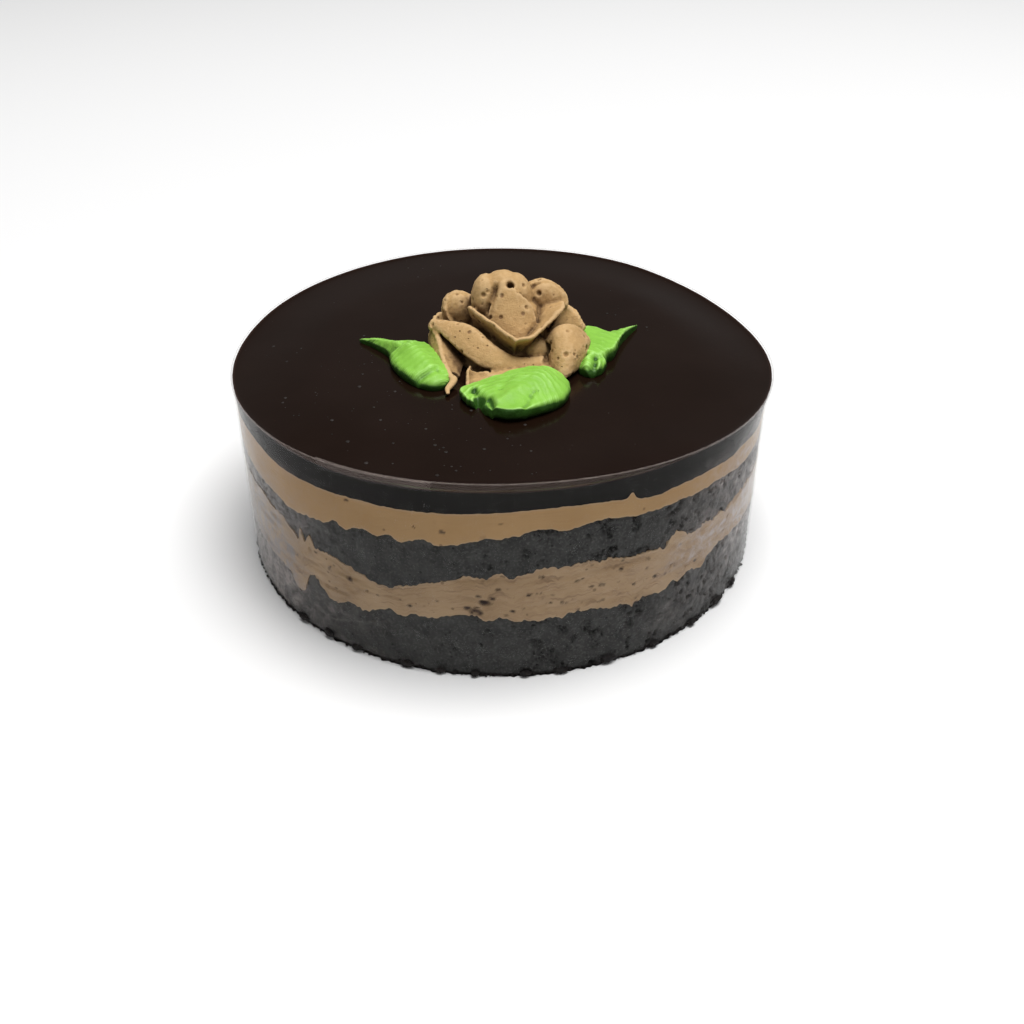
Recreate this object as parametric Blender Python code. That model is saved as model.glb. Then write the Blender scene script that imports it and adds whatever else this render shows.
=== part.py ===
"""Six-inch chocolate layer cake: two dark sponges, two cocoa creams, a poured
ganache top, one piped rose with three piped leaves, and a clear film collar.

Metres, +Z up. The origin is the centre of the cake's flat foot.
Angles round the cake are in degrees from the front (-Y), growing to the right (+X).
"""

import math
import random

import bmesh
import bpy
from mathutils import Vector

MM = 0.001

# ---- driving dimensions -------------------------------------------------------
CAKE_DIAMETER = 152.4 * MM      # over one turn of the film collar
FILM_THICKNESS = 0.3 * MM
CLEARANCE = 0.3 * MM            # between neighbouring pieces
FILM_START = -35.0              # degrees: inner end of the film strip
FILM_END = 348.0                # degrees: outer end, 23 degrees past the start
FILM_STEP_OUT = (300.0, 324.0)  # where the strip climbs on to its own first turn
FILM_FOOT = 2.4 * MM            # lower edge above the flat foot of the cake
FILM_LAP_FOOT = 0.4 * MM        # lower edge of the lap, which sags
GANACHE_TOP = 57.5 * MM         # poured surface in the middle
LEVEL_FLAT_OUT = 52.0 * MM      # inside this radius the poured top is level
SEAM_FLAT_OUT = 45.0 * MM       # inside this radius the seams between layers are level
CRUMB_FOOT_DEPTH = 1.7 * MM     # ragged sponge below the film
SIDE_STEP = 3.3                 # degrees between the points of a ring

# Edge heights of the seams between layers, in mm, at a few angles round the cake.
GANACHE_SEAM = ((-60, 51.2), (-45, 49.4), (-25, 50.4), (0, 52.1), (14, 52.8), (31, 50.1),
                (40, 50.5), (52, 49.6), (66, 49.2), (110, 50.4), (160, 51.0), (220, 49.8))
CREAM_UPPER_SEAM = ((-60, 40.1), (-47, 38.0), (-36, 40.0), (-24, 41.4), (-8, 42.3), (2, 45.0),
                    (9, 46.8), (14, 45.8), (20, 47.1), (33, 45.6), (50, 45.0), (64, 43.4),
                    (110, 43.0), (160, 44.2), (220, 42.4))
SPONGE_UPPER_SEAM = ((-60, 34.6), (-46, 30.0), (-33, 28.6), (-24, 25.4), (-12, 30.0), (-5, 32.7),
                     (3, 32.7), (9, 35.0), (22, 34.6), (34, 32.4), (45, 33.8), (64, 33.2),
                     (110, 32.6), (160, 33.8), (220, 32.0))
CREAM_LOWER_SEAM = ((-60, 17.0), (-47, 12.0), (-41, 18.0), (-34, 14.8), (-22, 17.6), (-6, 19.8),
                    (6, 18.8), (16, 19.9), (27, 18.0), (38, 20.0), (52, 22.8), (66, 20.6),
                    (110, 19.0), (160, 20.4), (220, 18.2))
# Where the poured top meets the film, and the film's own upper edge, in mm.
POURED_EDGE = ((-80, 56.1), (-68, 56.7), (-50, 57.0), (-30, 57.0), (-10, 58.0), (10, 58.4),
               (30, 58.5), (50, 57.8), (66, 57.0), (82, 55.8), (98, 54.5), (114, 54.2), (130, 55.1),
               (150, 56.7), (178, 57.2), (210, 57.2), (242, 56.6), (258, 56.0), (266, 55.9))
FILM_RIM = ((-80, 56.6), (-68, 57.4), (-50, 58.5), (-30, 59.5), (-10, 60.5), (10, 60.9),
            (30, 60.2), (50, 58.9), (66, 57.7), (82, 56.3), (98, 54.9), (114, 54.6), (130, 55.5),
            (150, 57.1), (178, 57.6), (210, 57.6), (242, 57.0), (258, 56.4), (266, 56.3))

SCALLOP_FROM, SCALLOP_TO = -38.0, -8.0   # comb marks in the upper cream
SCALLOP_PITCH = 6.4
SCALLOP_HEIGHT = 1.6 * MM
SCALLOP_CREST = -33.7
RIPPLE = 0.35 * MM                       # unevenness of every seam

# Above this height the film and the poured top lean outwards. The lean at the film's
# upper edge is the mean, plus its swing to the right, less its swing to the front.
LEAN_FROM = 50.0 * MM
LEAN_MEAN, LEAN_RIGHT, LEAN_FRONT = 0.95 * MM, 0.43 * MM, 0.5 * MM

# ---- the rose -----------------------------------------------------------------
ROSE_CENTRE = (2.5, 1.0)        # mm
PETAL_ACROSS = 7                # grid of one petal
PETAL_UP = 4
LOBE_SEGMENTS, LOBE_ROWS = 12, 6
HEART_SEGMENTS = 18
PETAL_THINS_BY = 1.5            # power of the way from the thick foot to the thin rim

# Piped petals as curved sheets. Foot, rim and rolled lip are lines from the petal's left
# to its right: x, y and height over the poured top. The bulge pushes the middle outwards;
# thick is the thickness at the foot and at the rim. In mm.
PETALS = {
    "bud_front": dict(
        foot=((-3.6, -4.6, 11.5), (0.6, -7.6, 9.5), (5.2, -9.2, 8), (9, -5.4, 9.5)),
        rim=((-0.9, 0.2, 20.1), (1, 0, 20.7), (3.4, -0.9, 19.7), (5.6, -1.9, 17.7),
             (7.6, -2.5, 15.7), (8.9, -2.7, 13.7)),
        bulge=0.5, thick=(3.4, 1.6)),
    "cup_left": dict(
        foot=((-7, -1, 2.5), (-3.5, -5, 2.5), (0.5, -7.5, 2.5), (4.6, -8.5, 2.5)),
        rim=((-9.2, -1.6, 14.3), (-5.8, -6.2, 13.9), (-2.2, -9.8, 12.9), (1.2, -13.2, 11.7),
             (4.35, -16.35, 10.7)),
        bulge=-1, thick=(4, 1.2)),
    "cup_right": dict(
        foot=((4.2, -8.5, 2.5), (7.5, -7.5, 3), (9.8, -4.5, 5.5), (11, -1, 8.5), (11.5, 2, 10.5)),
        rim=((3.75, -16.15, 10.85), (8.6, -14.4, 10.8), (12, -10.2, 11.9), (15.4, -6.4, 13.3),
             (17.8, -2.8, 14.3), (18, 2, 13.9)),
        bulge=-1.8, thick=(4, 1.2)),
    "behind_right": dict(
        foot=((6.5, 4, 8.5), (9.5, 5, 8.5), (12.5, 4, 9.5), (15, 2, 10.5)),
        rim=((7.6, 6.4, 17.7), (10.2, 7.4, 18.3), (13.2, 7.4, 18.2), (16.2, 6.2, 17.1),
             (18.2, 4.4, 15.1), (18, 2.4, 13.1)),
        bulge=0.8, thick=(5, 2.6)),
    "behind_left": dict(
        foot=((-6, 5, 5.5), (-8.5, 5, 4), (-10.5, 3.5, 3), (-12, 1, 2.5)),
        rim=((-8.6, 6.2, 13.9), (-11.4, 7, 14.8), (-14.2, 6.6, 14.8), (-16, 5.2, 13.5),
             (-16.8, 3.6, 10.9)),
        bulge=0.9, thick=(5, 2.8)),
    "outer_left": dict(
        foot=((-13, 0, 0.5), (-13, 5, 0.5), (-11, 8.5, 0.5)),
        rim=((-20, 4.6, 6.7), (-19.2, 7.4, 7.1), (-17.6, 9.2, 7.3), (-15.4, 10, 7.1)),
        bulge=0.6, thick=(4, 1.8)),
    "rolled_left": dict(
        foot=((-11, -2, 0.5), (-7, -6.5, 0.5), (-1.5, -9.5, 0.5), (8, -10, 0.5)),
        rim=((-19.2, 1.4, 7.5), (-13.8, -2.6, 8.7), (-7.8, -7.4, 9.3), (-1.4, -12.6, 5.7),
             (5, -13.6, 3.1), (12, -12.4, 2.7)),
        lip=((-19.2, 0.2, 6.7), (-15, -7.2, 6.7), (-10.2, -12.6, 4.5), (-4.6, -16.6, 2.6),
             (3, -16.6, 1.9), (10, -15, 1.7)),
        bulge=0.5, lip_bulge=0.7, thick=(4, 1.6)),
    "rolled_right": dict(
        foot=((11, -5, 1), (14, -4.5, 1), (17.5, -2.5, 1), (20, 0.5, 1)),
        rim=((13.7, -8.4, 6.1), (15.6, -8, 9.1), (18.2, -6.6, 9.5), (20.8, -4.6, 8.1),
             (22.4, -2.6, 5.5)),
        lip=((13.8, -11.5, 2.9), (14.8, -16.4, 1.4), (17.4, -20, 0.8), (21.4, -13.2, 1.3),
             (23, -6.6, 2.7)),
        bulge=0.5, lip_bulge=1.9, thick=(4, 2.4)),
    "side_right": dict(
        foot=((11.5, -1, 2.5), (15, -1.5, 1.5), (18.5, -0.5, 0.5), (21, 1.5, 0.5)),
        rim=((17.2, 3.6, 12.5), (19.8, 4.8, 10.3), (22.2, 4.2, 8.7), (24.2, 2.2, 6.1)),
        bulge=0.3, thick=(4, 1.9)),
    "back_low": dict(
        foot=((12, 8, 0.5), (6, 13, 0.5), (-1, 14, 0.5), (-8, 11, 0.5)),
        rim=((19, 11, 8.5), (10, 19.5, 8.9), (0, 21, 9.9), (-9, 18, 8.5), (-14, 12, 6.5)),
        bulge=0.5, thick=(4, 1.6)),
    "back_high": dict(
        foot=((8, 5, 4.5), (3, 9, 4.5), (-3, 8, 4.5)),
        rim=((11, 11, 12.5), (4, 15, 13.5), (-4, 14, 13), (-9, 10, 12)),
        bulge=-0.4, thick=(4, 1.6)),
    "back_side": dict(
        foot=((17, 4, 0.5), (13, 9, 0.5), (8, 12, 0.5)),
        rim=((24, 3, 5.7), (22, 9, 7.7), (17, 14, 8.5), (10, 17.5, 7.5)),
        bulge=0.5, thick=(4, 1.6)),
    "foot_front": dict(
        foot=((-2, -12, 0.7), (4, -12, 0.9), (10, -11, 0.9), (13, -9, 0.9)),
        rim=((-3, -20.8, 1.4), (1.5, -20.8, 2), (6, -20.6, 2.4), (10.8, -19.2, 2.4),
             (13.8, -16.6, 1.9)),
        bulge=0.3, thick=(4, 1.6)),
    "skirt_left": dict(
        foot=((-12, 1, 0.7), (-10.5, -5, 0.7), (-10, -12, 0.6), (-11.5, -19, 0.6)),
        rim=((-19.3, 1.6, 6.9), (-19.4, -4.5, 5.3), (-17.4, -11.8, 3.4), (-14.8, -19.4, 2.5)),
        bulge=-0.6, thick=(3, 1.8)),
}

# Full, rounded folds: centre (x, y, height over the poured top) and half sizes, in mm.
LOBES = {
    "bud_middle": ((0.4, 3.4, 14.3), (7, 6.4, 8.4)),
    "bud_right": ((3.4, 3.6, 13.7), (5.8, 6, 8)),
    "bud_left": ((-4.3, 2.4, 14.5), (4.2, 5.7, 7.4)),
    "behind_right": ((12.8, 4.8, 12.1), (5.4, 3.3, 6.2)),
    "behind_left": ((-12.3, 4.9, 9.1), (4.2, 2.7, 5.8)),
    "under_roll": ((-4, -14.6, 0.1), (5, 6.5, 2.6)),
    "under_roll_front": ((-5.6, -18.6, 0.1), (3.6, 5.6, 1.9)),
    "under_cup": ((9.6, -7.4, 3), (4.6, 4, 4.4)),
    "corner_left": ((-19.3, 0.8, 7), (1.6, 2.1, 1.5)),
}

# The solid heart of the rose: (radius, height over the poured top) from foot to top, in mm.
ROSE_HEART = ((17.5, -0.4), (17.5, 0.8), (15, 2), (12, 4), (10, 7), (9, 10), (7.6, 13), (5, 15.6), (2, 16.8))

# The strand of buttercream that runs down from the far left petal: x, y, height over the
# poured top, and half thickness along it, in mm.
STRAND = ((-19.4, 0.4, 6.9, 1.5), (-19.4, -5.2, 5.3, 1.3), (-17.4, -12, 3.4, 1.1),
          (-14.7, -19.6, 2.6, 1), (-13.5, -23.5, 2, 1.1), (-14.6, -26.4, 1.5, 1.1),
          (-13.9, -28.2, 1.1, 0.7))

# ---- the leaves ---------------------------------------------------------------
# Outline: x, y, height of the side, share of the way in over which the side turns on to
# the top, and how much narrower the foot is. Spine: x, y and height of the crown.
# Crease: x, y of both ends, depth and half width. Arcs: centre x, y, pitch, depth. In mm.
LEAVES = {
    "leaf_left": dict(
        outline=((-41.3, 4.6, 1.2, 0.1, 0.07), (-37.2, 1.0, 1.7, 0.1, 0.07),
                 (-32.3, -4.8, 2.2, 0.15, 0.07), (-31.4, -8.0, 2.8, 0.25, 0.07),
                 (-30.3, -13.0, 3.2, 0.25, 0.07), (-27.4, -18.4, 3.4, 0.25, 0.07),
                 (-23.2, -23.2, 3.2, 0.3, 0.07), (-18.4, -25.6, 2.8, 0.3, 0.07),
                 (-14.6, -24.2, 2.8, 0.25, 0.07), (-13.6, -19.4, 3.2, 0.2, 0.07),
                 (-16.0, -12.0, 3.4, 0.2, 0.07), (-19.0, -4.8, 3.6, 0.2, 0.07),
                 (-22.6, -1.4, 3.8, 0.2, 0.07), (-26.8, -1.0, 3.0, 0.15, 0.07),
                 (-30.4, 0.2, 2.6, 0.1, 0.07), (-35.0, 3.0, 2.2, 0.1, 0.07)),
        spine=((-34.0, -0.4, 3.2), (-30.0, -4.0, 4.6), (-25.5, -8.5, 6.6), (-19.0, -19.6, 5.0)),
        creases=((-31.3, -6.8, -26.9, -6.7, 0.9, 1.0), (-17.1, -20.3, -21.9, -23.2, 1.5, 1.1),
                 (-21.5, -1.0, -24.5, -3.6, 0.7, 0.9)),
        arcs=(-38.0, 6.0, 3.4, 0.14)),
    "leaf_front": dict(
        outline=((-10.9, -28.4, 2.9, 0.06, 0.1), (-9.8, -32.0, 2.9, 0.06, 0.14),
                 (-7.6, -35.0, 2.7, 0.08, 0.14), (-5.3, -35.8, 2.4, 0.12, 0.1),
                 (-3.9, -38.4, 3.3, 0.07, 0.12), (-1.6, -41.0, 3.9, 0.05, 0.17),
                 (1.8, -42.6, 4.1, 0.05, 0.19), (5.4, -42.2, 4.1, 0.05, 0.18),
                 (9.0, -40.4, 3.9, 0.09, 0.14), (13.0, -37.8, 3.8, 0.16, 0.1),
                 (16.4, -34.6, 3.8, 0.22, 0.08), (18.4, -30.4, 3.8, 0.25, 0.07),
                 (18.7, -25.6, 3.8, 0.25, 0.07), (16.8, -21.2, 4.2, 0.2, 0.07),
                 (12.0, -18.4, 4.6, 0.15, 0.07), (5.0, -19.0, 4.4, 0.15, 0.07),
                 (-2.0, -22.4, 3.6, 0.15, 0.07), (-7.6, -25.6, 3.0, 0.08, 0.07)),
        spine=((-4.0, -31.0, 3.8), (2.5, -32.0, 5.2), (5.5, -29.0, 6.2), (11.0, -27.0, 6.6)),
        creases=((-5.6, -37.4, -4.8, -31.0, 1.7, 1.0), (-1.6, -37.0, 1.6, -29.0, 0.6, 1.0),
                 (6.4, -40.6, 8.2, -34.6, 0.6, 1.0), (-8.4, -33.6, -7.0, -29.6, 0.5, 0.8)),
        arcs=(2.0, -39.0, 3.4, 0.16)),
    "leaf_right": dict(
        outline=((40.4, 14.0, 1.4, 0.1, 0.05), (37.9, 9.4, 2.2, 0.1, 0.07),
                 (35.0, 3.2, 3.2, 0.1, 0.09), (33.4, -2.4, 3.8, 0.12, 0.1),
                 (32.0, -6.8, 4.0, 0.15, 0.1), (29.9, -8.8, 4.0, 0.3, 0.08),
                 (29.2, -13.4, 4.2, 0.4, 0.06), (27.4, -16.6, 4.2, 0.45, 0.05),
                 (24.6, -17.8, 4.2, 0.45, 0.05), (22.0, -15.8, 4.0, 0.4, 0.06),
                 (20.6, -9.0, 4.0, 0.2, 0.07), (21.6, 0.0, 4.0, 0.2, 0.07),
                 (24.0, 7.6, 4.0, 0.15, 0.07), (27.2, 7.2, 3.8, 0.12, 0.07),
                 (30.2, 4.6, 3.4, 0.12, 0.07), (35.4, 8.2, 2.9, 0.1, 0.07)),
        spine=((35.6, 6.0, 3.2), (31.0, 1.0, 4.2), (28.4, -3.4, 4.6), (26.0, -10.6, 4.6)),
        creases=((25.2, -19.0, 25.9, -11.4, 2.6, 1.0), (33.0, -8.6, 29.6, -10.8, 1.6, 0.9)),
        arcs=(37.0, 12.0, 3.6, 0.1)),
}
LEAF_POINTS = 46


# ---- small helpers --------------------------------------------------------------
def smooth_step(x):
    x = min(1.0, max(0.0, x))
    return x * x * (3.0 - 2.0 * x)


def through(values, x):
    """Smooth curve through evenly spaced values, read at x from 0 to 1."""
    padded = [2 * values[0] - values[1], *values, 2 * values[-1] - values[-2]]
    spans = len(values) - 1
    index = min(int(x * spans), spans - 1)
    t = x * spans - index
    a, b, c, d = padded[index:index + 4]
    return 0.5 * (2 * b + (c - a) * t + (2 * a - 5 * b + 4 * c - d) * t * t
                  + (3 * b - a - 3 * c + d) * t ** 3)


def around(knots, angle):
    """Smooth closed curve through (degrees, mm) knots, read at an angle; in metres."""
    count = len(knots)
    angle = (angle - knots[0][0]) % 360.0 + knots[0][0]
    index = max(k for k in range(count) if knots[k][0] <= angle)

    def knot(k):
        turn, place = divmod(k, count)
        return knots[place][0] + 360.0 * turn, knots[place][1]

    (a0, h0), (a1, h1), (a2, h2), (a3, h3) = (knot(index + k) for k in (-1, 0, 1, 2))
    span = a2 - a1
    t = (angle - a1) / span
    slope_in = (h2 - h0) / (a2 - a0) * span
    slope_out = (h3 - h1) / (a3 - a1) * span
    height = ((2 * t ** 3 - 3 * t * t + 1) * h1 + (t ** 3 - 2 * t * t + t) * slope_in
              + (3 * t * t - 2 * t ** 3) * h2 + (t ** 3 - t * t) * slope_out)
    return height * MM


def ripple(angle, seed):
    """Small seeded unevenness round the cake, in metres."""
    draw = random.Random(seed)
    total = 0.0
    for waves in (9, 17, 26, 38):
        phase = draw.uniform(0.0, math.tau)
        total += draw.uniform(0.4, 1.0) * math.sin(math.radians(angle) * waves + phase)
    return RIPPLE * total / 2.0


def on_circle(radius, angle, height):
    turn = math.radians(angle)
    return Vector((radius * math.sin(turn), -radius * math.cos(turn), height))


def material(name, colour, roughness, alpha=1.0):
    made = bpy.data.materials.new(name)
    made.use_nodes = True
    shader = made.node_tree.nodes["Principled BSDF"]
    shader.inputs["Base Color"].default_value = (*colour, 1.0)
    shader.inputs["Roughness"].default_value = roughness
    shader.inputs["Metallic"].default_value = 0.0
    shader.inputs["Alpha"].default_value = alpha
    return made


def solid(name, points, faces, finish, smooth_angle=50.0):
    mesh = bpy.data.meshes.new(name)
    mesh.from_pydata([tuple(p) for p in points], [], faces)
    mesh.validate()
    body = bmesh.new()
    body.from_mesh(mesh)
    bmesh.ops.recalc_face_normals(body, faces=body.faces)
    bmesh.ops.triangulate(body, faces=body.faces)
    body.to_mesh(mesh)
    body.free()
    mesh.materials.append(finish)
    mesh.shade_smooth()
    mesh.set_sharp_from_angle(angle=math.radians(smooth_angle))
    made = bpy.data.objects.new(name, mesh)
    bpy.context.scene.collection.objects.link(made)
    return made


# ---- the layers -----------------------------------------------------------------
def scallops(angle):
    if not SCALLOP_FROM <= angle <= SCALLOP_TO:
        return 0.0
    fade = min(1.0, (angle - SCALLOP_FROM) / 4.0, (SCALLOP_TO - angle) / 4.0)
    arch = abs(math.cos(math.pi * (angle - SCALLOP_CREST) / SCALLOP_PITCH))
    return SCALLOP_HEIGHT * fade * (arch - 0.6)


def cake_radius():
    return CAKE_DIAMETER / 2 - FILM_THICKNESS - CLEARANCE


def lean(angle, height):
    """How far the side stands out beyond the straight wall, near the top."""
    turn = math.radians(angle)
    most = LEAN_MEAN + LEAN_RIGHT * math.sin(turn) - LEAN_FRONT * math.cos(turn)
    return most * max(0.0, (height - LEAN_FROM) / (around(FILM_RIM, angle) - LEAN_FROM))


def side_angles():
    """Degrees of the points of a ring, twice as close in the combed stretch."""
    combed = SCALLOP_TO - SCALLOP_FROM
    few = round((360.0 - combed) / SIDE_STEP)
    many = round(combed / SIDE_STEP * 2)
    return ([SCALLOP_FROM + combed * k / many for k in range(many)]
            + [SCALLOP_TO + (360.0 - combed) * k / few for k in range(few)])


def seam(knots, seed, combed=False):
    """Height of a seam at a radius and an angle: wavy at the side, level inside."""
    mean = sum(h for _, h in knots) / len(knots) * MM

    def height(radius, angle):
        shown = (angle + 180.0) % 360.0 - 180.0
        edge = around(knots, angle) + ripple(angle, seed)
        if combed:
            edge += scallops(shown)
        blend = smooth_step((radius - SEAM_FLAT_OUT) / (cake_radius() - SEAM_FLAT_OUT))
        return mean + (edge - mean) * blend

    return height


def poured_top(radius, angle):
    edge = around(POURED_EDGE, angle)
    blend = smooth_step((radius - LEVEL_FLAT_OUT) / (cake_radius() - LEVEL_FLAT_OUT))
    return GANACHE_TOP + (edge - GANACHE_TOP) * blend


def flat_foot(radius, angle):
    return 0.0


def ragged_foot(angle):
    """How far the crumbly foot of the cake stands out under the film."""
    return 0.45 * MM + ripple(angle, 11) * 1.4


def layer(name, low, high, finish, ragged=False):
    """A round layer between two height functions, with rings where they change."""
    outer = cake_radius()
    rings = (0.78 * outer, outer)
    angles = side_angles()
    gap = CLEARANCE / 2

    def ring(radius, height, shift):
        made = []
        for a in angles:
            level = height(radius, a) + shift
            out = lean(a, level) if radius == outer else 0.0
            made.append(on_circle(radius + out, a, level))
        return made

    points = [Vector((0, 0, high(0.0, 0.0) - gap))]
    for radius in rings:
        points += ring(radius, high, -gap)
    if ragged:
        points += [on_circle(outer, a, CRUMB_FOOT_DEPTH + ripple(a, 12)) for a in angles]
        points += [on_circle(outer + ragged_foot(a), a, 0.0) for a in angles]
        points.append(Vector((0, 0, 0)))
        rows = len(rings) + 2
    else:
        for radius in reversed(rings):
            points += ring(radius, low, gap)
        points.append(Vector((0, 0, low(0.0, 0.0) + gap)))
        rows = 2 * len(rings)
    faces = []
    count = len(angles)
    for k in range(count):
        faces.append((0, 1 + k, 1 + (k + 1) % count))
    for row in range(rows - 1):
        start = 1 + row * count
        for k in range(count):
            other = (k + 1) % count
            faces.append((start + k, start + count + k, start + count + other, start + other))
    last = 1 + (rows - 1) * count
    for k in range(count):
        faces.append((last + (k + 1) % count, last + k, len(points) - 1))
    return solid(name, points, faces, finish)


# ---- the film -------------------------------------------------------------------
def film_strip(finish):
    """One clear strip, wrapped once round the cake and lapped over its own start."""
    steps = int(round((FILM_END - FILM_START) / SIDE_STEP))
    inner_face = cake_radius() + CLEARANCE
    points = []
    for k in range(steps + 1):
        angle = FILM_START + (FILM_END - FILM_START) * k / steps
        climb = smooth_step((angle - FILM_STEP_OUT[0]) / (FILM_STEP_OUT[1] - FILM_STEP_OUT[0]))
        radius = inner_face + (FILM_THICKNESS + CLEARANCE) * climb
        foot = FILM_FOOT + (FILM_LAP_FOOT - FILM_FOOT) * smooth_step((angle - 315.0) / 20.0)
        rim = around(FILM_RIM, angle) - 0.5 * MM * climb
        heights = (foot, LEAN_FROM, rim)
        for out, level in ([(0.0, h) for h in reversed(heights)] + [(FILM_THICKNESS, h) for h in heights]):
            points.append(on_circle(radius + out + lean(angle, level), angle, level))
    loop = 6
    faces = [tuple(reversed(range(loop)))]
    for k in range(steps):
        start = loop * k
        for side in range(loop):
            other = (side + 1) % loop
            faces.append((start + side, start + other, start + loop + other, start + loop + side))
    faces.append(tuple(loop * steps + side for side in range(loop)))
    return solid("film_collar", points, faces, finish)


# ---- the rose -------------------------------------------------------------------
def over_top(x, y, height):
    """A point given in mm, with its height over the poured top; none goes below the foot."""
    return Vector((x * MM, y * MM, GANACHE_TOP + max(height * MM, CLEARANCE)))


def on_line(line, x):
    return Vector([through(column, x) for column in zip(*line)])


def outwards(point):
    """Level direction away from the rose's own axis."""
    return Vector((point.x - ROSE_CENTRE[0], point.y - ROSE_CENTRE[1], 0.0)).normalized()


def petal_curve(petal, x):
    """Points from the foot of a petal to its rim, or over the rim to its lip, in mm."""
    foot, rim = on_line(petal["foot"], x), on_line(petal["rim"], x)
    middle = (foot + rim) / 2
    stops = [foot, middle + outwards(middle) * petal["bulge"], rim]
    if "lip" in petal:
        lip = on_line(petal["lip"], x)
        middle = (rim + lip) / 2
        push = outwards(middle) * 0.8 + Vector((0.0, 0.0, 0.6))
        stops += [middle + push * petal["lip_bulge"], lip]
    return stops


def petal_solid(name, petal, finish):
    """A thick curved sheet: a grid of points moved half a thickness to either side."""
    up = PETAL_UP + (2 if "lip" in petal else 0)
    grid = []
    for i in range(PETAL_ACROSS + 1):
        stops = petal_curve(petal, i / PETAL_ACROSS)
        grid.append([on_line(stops, j / up) for j in range(up + 1)])
    thick, thin = petal["thick"]
    sheets = ([], [])
    for i in range(PETAL_ACROSS + 1):
        for j in range(up + 1):
            along = grid[min(i + 1, PETAL_ACROSS)][j] - grid[max(i - 1, 0)][j]
            rise = grid[i][min(j + 1, up)] - grid[i][max(j - 1, 0)]
            normal = along.cross(rise).normalized()
            half = 0.5 * ((thick - thin) * (1 - j / up) ** PETAL_THINS_BY + thin)
            sheets[0].append(over_top(*(grid[i][j] + normal * half)))
            sheets[1].append(over_top(*(grid[i][j] - normal * half)))
    rows = up + 1
    offset = len(sheets[0])
    faces = []
    for i in range(PETAL_ACROSS):
        for j in range(up):
            a, b = i * rows + j, (i + 1) * rows + j
            faces.append((a, b, b + 1, a + 1))
            faces.append((offset + a + 1, offset + b + 1, offset + b, offset + a))
    border = [i * rows for i in range(PETAL_ACROSS + 1)]
    border += [PETAL_ACROSS * rows + j for j in range(1, rows)]
    border += [i * rows + up for i in range(PETAL_ACROSS - 1, -1, -1)]
    border += [j for j in range(up - 1, 0, -1)]
    for here, there in zip(border, border[1:] + border[:1]):
        faces.append((here, offset + here, offset + there, there))
    return solid(name, sheets[0] + sheets[1], faces, finish)


def turned_solid(name, rings, centre, finish, segments):
    """A closed body from level rings: (half width, half depth, height over the top), in mm."""
    def ring_point(k, wide, deep, height):
        turn = math.tau * k / segments
        return over_top(centre[0] + wide * math.sin(turn), centre[1] - deep * math.cos(turn), height)

    points = [ring_point(0, 0, 0, rings[0][2])]
    for ring in rings:
        points += [ring_point(k, *ring) for k in range(segments)]
    points.append(ring_point(0, 0, 0, rings[-1][2]))
    faces = []
    for k in range(segments):
        other = (k + 1) % segments
        faces.append((0, 1 + other, 1 + k))
        for row in range(len(rings) - 1):
            start = 1 + row * segments
            faces.append((start + k, start + other, start + segments + other, start + segments + k))
        last = 1 + (len(rings) - 1) * segments
        faces.append((last + k, last + other, len(points) - 1))
    return solid(name, points, faces, finish)


def lobe_solid(name, centre, half, finish):
    """A rounded fold, cut level where it meets the poured top."""
    low = max(-1.0, (CLEARANCE / MM - centre[2]) / half[2])
    start = math.acos(-low) if low > -1.0 else 0.2
    rings = []
    for row in range(LOBE_ROWS):
        tilt = start + (math.pi - 0.2 - start) * row / (LOBE_ROWS - 1)
        rings.append((half[0] * math.sin(tilt), half[1] * math.sin(tilt),
                      centre[2] - half[2] * math.cos(tilt)))
    return turned_solid(name, rings, centre, finish, LOBE_SEGMENTS)


def keep_biggest_body(mesh):
    """Drop loose scraps and slivers that a union can leave."""
    body = bmesh.new()
    body.from_mesh(mesh)
    todo = set(body.faces)
    groups = []
    while todo:
        stack = [todo.pop()]
        group = []
        while stack:
            face = stack.pop()
            group.append(face)
            for edge in face.edges:
                if len(edge.link_faces) != 2:
                    continue
                for other in edge.link_faces:
                    if other in todo:
                        todo.remove(other)
                        stack.append(other)
        groups.append(group)
    groups.sort(key=len, reverse=True)
    for group in groups[1:]:
        bmesh.ops.delete(body, geom=group, context="FACES")
    bmesh.ops.triangulate(body, faces=body.faces)
    body.to_mesh(mesh)
    body.free()


def strand_solid(finish):
    """A thin piped strand of changing thickness, swept along its points."""
    stops = 10
    sides = 5
    columns = list(zip(*STRAND))
    line = [Vector([through(column, k / stops) for column in columns[:3]])
            for k in range(stops + 1)]
    points = []
    for k, spot in enumerate(line):
        way = (line[min(k + 1, stops)] - line[max(k - 1, 0)]).normalized()
        beside = way.cross(Vector((0, 0, 1))).normalized()
        over = beside.cross(way)
        half = through(columns[3], k / stops)
        for j in range(sides):
            turn = math.tau * j / sides
            spot_on = spot + beside * (half * math.cos(turn)) + over * (0.8 * half * math.sin(turn))
            points.append(over_top(*spot_on))
    faces = [tuple(range(sides))]
    for k in range(stops):
        for j in range(sides):
            a, b = k * sides + j, k * sides + (j + 1) % sides
            faces.append((a, b, b + sides, a + sides))
    faces.append(tuple(reversed(range(stops * sides, (stops + 1) * sides))))
    return solid("strand", points, faces, finish)


def grown_copy(source, distance):
    """A copy with every point moved outwards, to cut a clearance with."""
    mesh = source.data.copy()
    normals = [vertex.normal.copy() for vertex in mesh.vertices]
    for vertex, normal in zip(mesh.vertices, normals):
        vertex.co += normal * distance
    made = bpy.data.objects.new(source.name + "_clearance", mesh)
    bpy.context.scene.collection.objects.link(made)
    return made


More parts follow.
